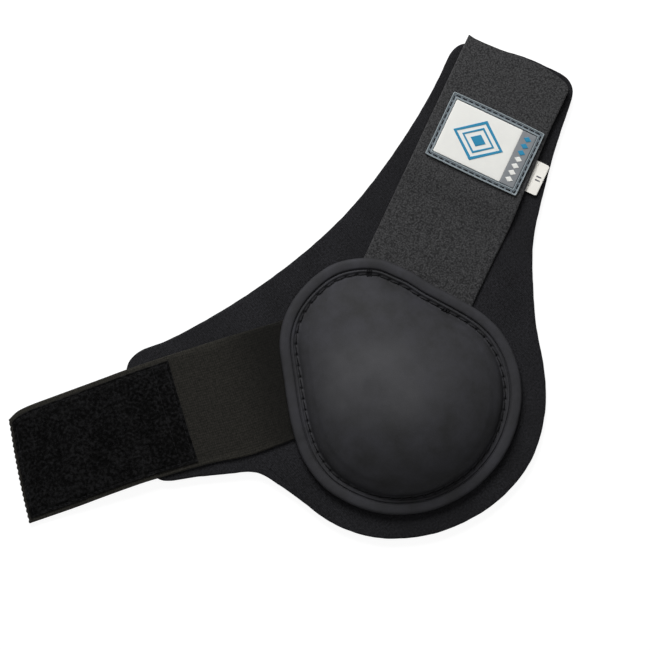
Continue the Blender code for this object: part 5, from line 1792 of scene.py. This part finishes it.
blue_forms = [diamond_frame(panel_middle, (10.6 * MM, 13.4 * MM), 1.9 * MM),
              diamond_frame(panel_middle, (6.9 * MM, 8.7 * MM), 1.3 * MM),
              diamond_stud(panel_middle, (3.2 * MM, 4.1 * MM))]
white_forms = []
for place, step in enumerate(np.linspace(-1, 1, 7)):
    stud = diamond_stud((strip_middle[0] + step * 10.6 * MM, strip_middle[1]), (1.45 * MM, 2.1 * MM))
    (white_forms if place < 4 else blue_forms).append(stud)
blue_motif = mesh_piece("badge_plain_diamonds", *together(*blue_forms), sharp=30)
white_motif = mesh_piece("badge_plain_studs", *together(*white_forms), sharp=30)


# %% Cast rubber
def soft_rubber(name, colour, mottled, roughness, painted_highlight=None):
    """Cast soft PVC: an even colour with the faintest mottle, matt from the mould, with painted highlights on
    ridges.
    """
    material, tree, shader, place = new_material(name, colour, roughness, Specular_IOR_Level=0.4)
    slow = add(tree, "TexNoise", {"Scale": 0.21 / MM, "Detail": 5.0, "Roughness": 0.6}, {"Vector": place})
    tint = add(tree, "Mix", {"A": linear(mottled), "B": linear(colour)}, {"Factor": slow.outputs["Fac"]},
               data_type="RGBA")
    skin = add(tree, "TexNoise", {"Scale": 1.5 / MM, "Detail": 2.0}, {"Vector": place})
    bump = add(tree, "Bump", {"Strength": 0.15, "Distance": 0.06 * MM}, {"Height": skin.outputs["Fac"]})
    if painted_highlight:
        # Painted highlight: above this height, the tops of the ridges are paler.
        level = add(tree, "SeparateXYZ", links={0: place}).outputs["Z"]
        high = add(tree, "MapRange", {"From Min": STRAP_TOP + 1.25 * MM, "From Max": STRAP_TOP + 1.5 * MM},
                   {"Value": level})
        tint = add(tree, "Mix", {"B": linear(painted_highlight)},
                   {"Factor": high.outputs["Result"], "A": tint.outputs["Result"]}, data_type="RGBA")
    tree.links.new(tint.outputs["Result"], shader.inputs["Base Color"])
    tree.links.new(bump.outputs["Normal"], shader.inputs["Normal"])
    return material


slate = soft_rubber("cast_slate_rubber", "#68727a", "#5c656b", roughness=0.45, painted_highlight="#8b9498")
white_rubber = soft_rubber("cast_white_rubber", "#e8e8e3", "#dededa", roughness=0.5)
grey_rubber = soft_rubber("cast_grey_rubber", "#83868a", "#767a7d", roughness=0.5)
blue_rubber = soft_rubber("cast_blue_rubber", "#2088b0", "#1b7ba0", roughness=0.45)
dress(badge, slate, "badge_rubber", "badge_base")
dress(panel, white_rubber, "badge_panel_white", "badge_panel")
dress(strip, grey_rubber, "badge_strip_grey", "badge_strip")
dress(blue_motif, blue_rubber, "badge_rubber")
dress(white_motif, white_rubber, "badge_panel_white")

# %% Badge stitches
BADGE_STITCH = 3.3 * MM
GROOVE_INSET = 1.3 * MM
GROOVE_FLOOR = STRAP_TOP + 1.2 * MM


def badge_seam():
    """Stitches round the groove; the whole number of them that comes nearest to the pitch."""
    line = badge_outline(GROOVE_INSET)
    closed = np.vstack([line, line[:1]])
    return stitch_row("upper_wing", closed, lambda x, y: np.full(len(x), GROOVE_FLOOR),
                      BADGE_STITCH, radius=0.28 * MM, lift=0.14 * MM)


badge_stitches = mesh_piece("badge_stitches", *badge_seam())
dress(badge_stitches, thread, "black_thread", "badge_seam_thread")
for piece in (badge, panel, strip, blue_motif, white_motif, badge_stitches):
    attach(piece, "upper_strap")
print("badge in mm:", [round(2 * half / MM, 1) for half in BADGE_HALF])

# %% [markdown]
# ## The ribbon label
# A short ribbon is folded in half and caught under the strap's edge. Its two layers are one strip
# carried along a hairpin path. Two plain bars are printed on it.

# %% Ribbon
LABEL_X = 62.0 * MM
LABEL_HALF = 8.0 * MM
LABEL_EDGE = UPPER_MIDDLE - UPPER_HALF
LABEL_REACH = 5.2 * MM
RIBBON = 0.16 * MM
RIBBON_GAP = 0.2 * MM
RIBBON_PLACES = 17
LABEL_LEVEL = 6.95 * MM


def hairpin(near, far, gap):
    """Out along the lower run, round a half circle, and back along the upper one: places and heights."""
    turn = np.linspace(-math.pi / 2, math.pi / 2, 9)
    out = np.linspace(near, far, 8)[:-1]
    y = np.concatenate([out, far + gap * np.cos(turn) * np.sign(far - near), out[::-1]])
    z = np.concatenate([np.full(len(out), -gap), gap * np.sin(turn), np.full(len(out), gap)])
    return y, z


def ribbon_strip(near, far):
    """A ribbon along the hairpin: half its thickness either way, square to the path.

    Its fold is 5% narrower, so its corners look rounded, and across it curls up as cos(pi * u).
    """
    y, z = hairpin(near, far, RIBBON_GAP)
    step = np.gradient(np.column_stack([y, z]), axis=0)
    normal = np.column_stack([-step[:, 1], step[:, 0]]) / np.linalg.norm(step, axis=1, keepdims=True)
    across = np.linspace(-1, 1, RIBBON_PLACES)
    eased = 1 - 0.05 * smoothstep((np.abs(y - LABEL_EDGE) - LABEL_REACH + 0.9 * MM) / (0.9 * MM))
    sides = []
    for face in (1, -1):
        line = np.column_stack([y, z]) + normal * face * RIBBON / 2
        grid_y = np.broadcast_to(line[:, :1], (len(y), RIBBON_PLACES))
        curl = 0.10 * MM * np.cos(across * math.pi)[None] * smoothstep(np.abs(line[:, :1] - LABEL_EDGE)
                                                                       / LABEL_REACH)
        sides.append(np.stack([LABEL_X + across * LABEL_HALF * eased[:, None], grid_y,
                               LABEL_LEVEL + line[:, 1:] + curl], -1))
    rings = np.concatenate([sides[0], sides[1][:, ::-1]], 1)
    columns = rings.shape[1]
    i = np.arange(RIBBON_PLACES - 1)
    cap = np.stack([i, i + 1, columns - 2 - i, columns - 1 - i], -1)
    faces = [quads(len(rings), columns, closed=True), cap[:, ::-1], cap + (len(rings) - 1) * columns]
    return onto_boot("upper_wing", *rings.reshape(-1, 3).T), faces


label = mesh_piece("folded_ribbon_label", *ribbon_strip(LABEL_EDGE - 0.1 * MM, LABEL_EDGE - LABEL_REACH))
tail = mesh_piece("ribbon_label_tail", *ribbon_strip(LABEL_EDGE + 3.0 * MM, LABEL_EDGE + 0.2 * MM))


def bar(x, half_long, half_wide):
    """A printed bar on the label: a thin raised rectangle with round corners."""
    middle = (LABEL_X + x, LABEL_EDGE - 2.7 * MM)
    top = LABEL_LEVEL + 0.2 * MM + RIBBON / 2 + 0.10 * MM
    profile = [(0.0, top - 0.12 * MM), (0.02, top - 0.02 * MM), (0.08, top), (0.2, top)]
    return moulded("upper_wing", lambda inset: rounded_box(middle, (half_wide, half_long), 0.2 * MM, inset),
                   profile)


# %% Bars and satin
bars = mesh_piece("label_printed_bars", *together(bar(-0.9 * MM, 1.3 * MM, 0.38 * MM),
                                                  bar(0.9 * MM, 1.3 * MM, 0.38 * MM)))


def satin_ribbon(name, colour, shade):
    """Satin polyester ribbon: threads of 0.45 mm across it, with a soft shine."""
    material, tree, shader, place = new_material(name, colour, roughness=0.5, Specular_IOR_Level=0.4,
                                                 Sheen_Weight=0.1)
    threads = add(tree, "TexWave", {"Scale": WAVE / (0.4488 * MM), "Distortion": 0.8}, {"Vector": place},
                  wave_type="BANDS", bands_direction="Y")
    tint = add(tree, "Mix", {"A": linear(shade), "B": linear(colour)}, {"Factor": threads.outputs["Fac"]},
               data_type="RGBA")
    bump = add(tree, "Bump", {"Strength": 0.3, "Distance": 0.05 * MM}, {"Height": threads.outputs["Fac"]})
    tree.links.new(tint.outputs["Result"], shader.inputs["Base Color"])
    tree.links.new(bump.outputs["Normal"], shader.inputs["Normal"])
    return material


ribbon = satin_ribbon("satin_ribbon", "#f6f4ee", "#e9e6de")
dress(label, ribbon, "label_ribbon", "size_label")
dress(tail, ribbon, "label_ribbon", "size_label_tail")
dress(bars, soft_rubber("grey_label_ink", "#6b6b6e", "#5d5d60", roughness=0.6), "label_ribbon")
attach(label, "size_label")
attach(bars, "size_label")
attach(tail, "upper_strap")
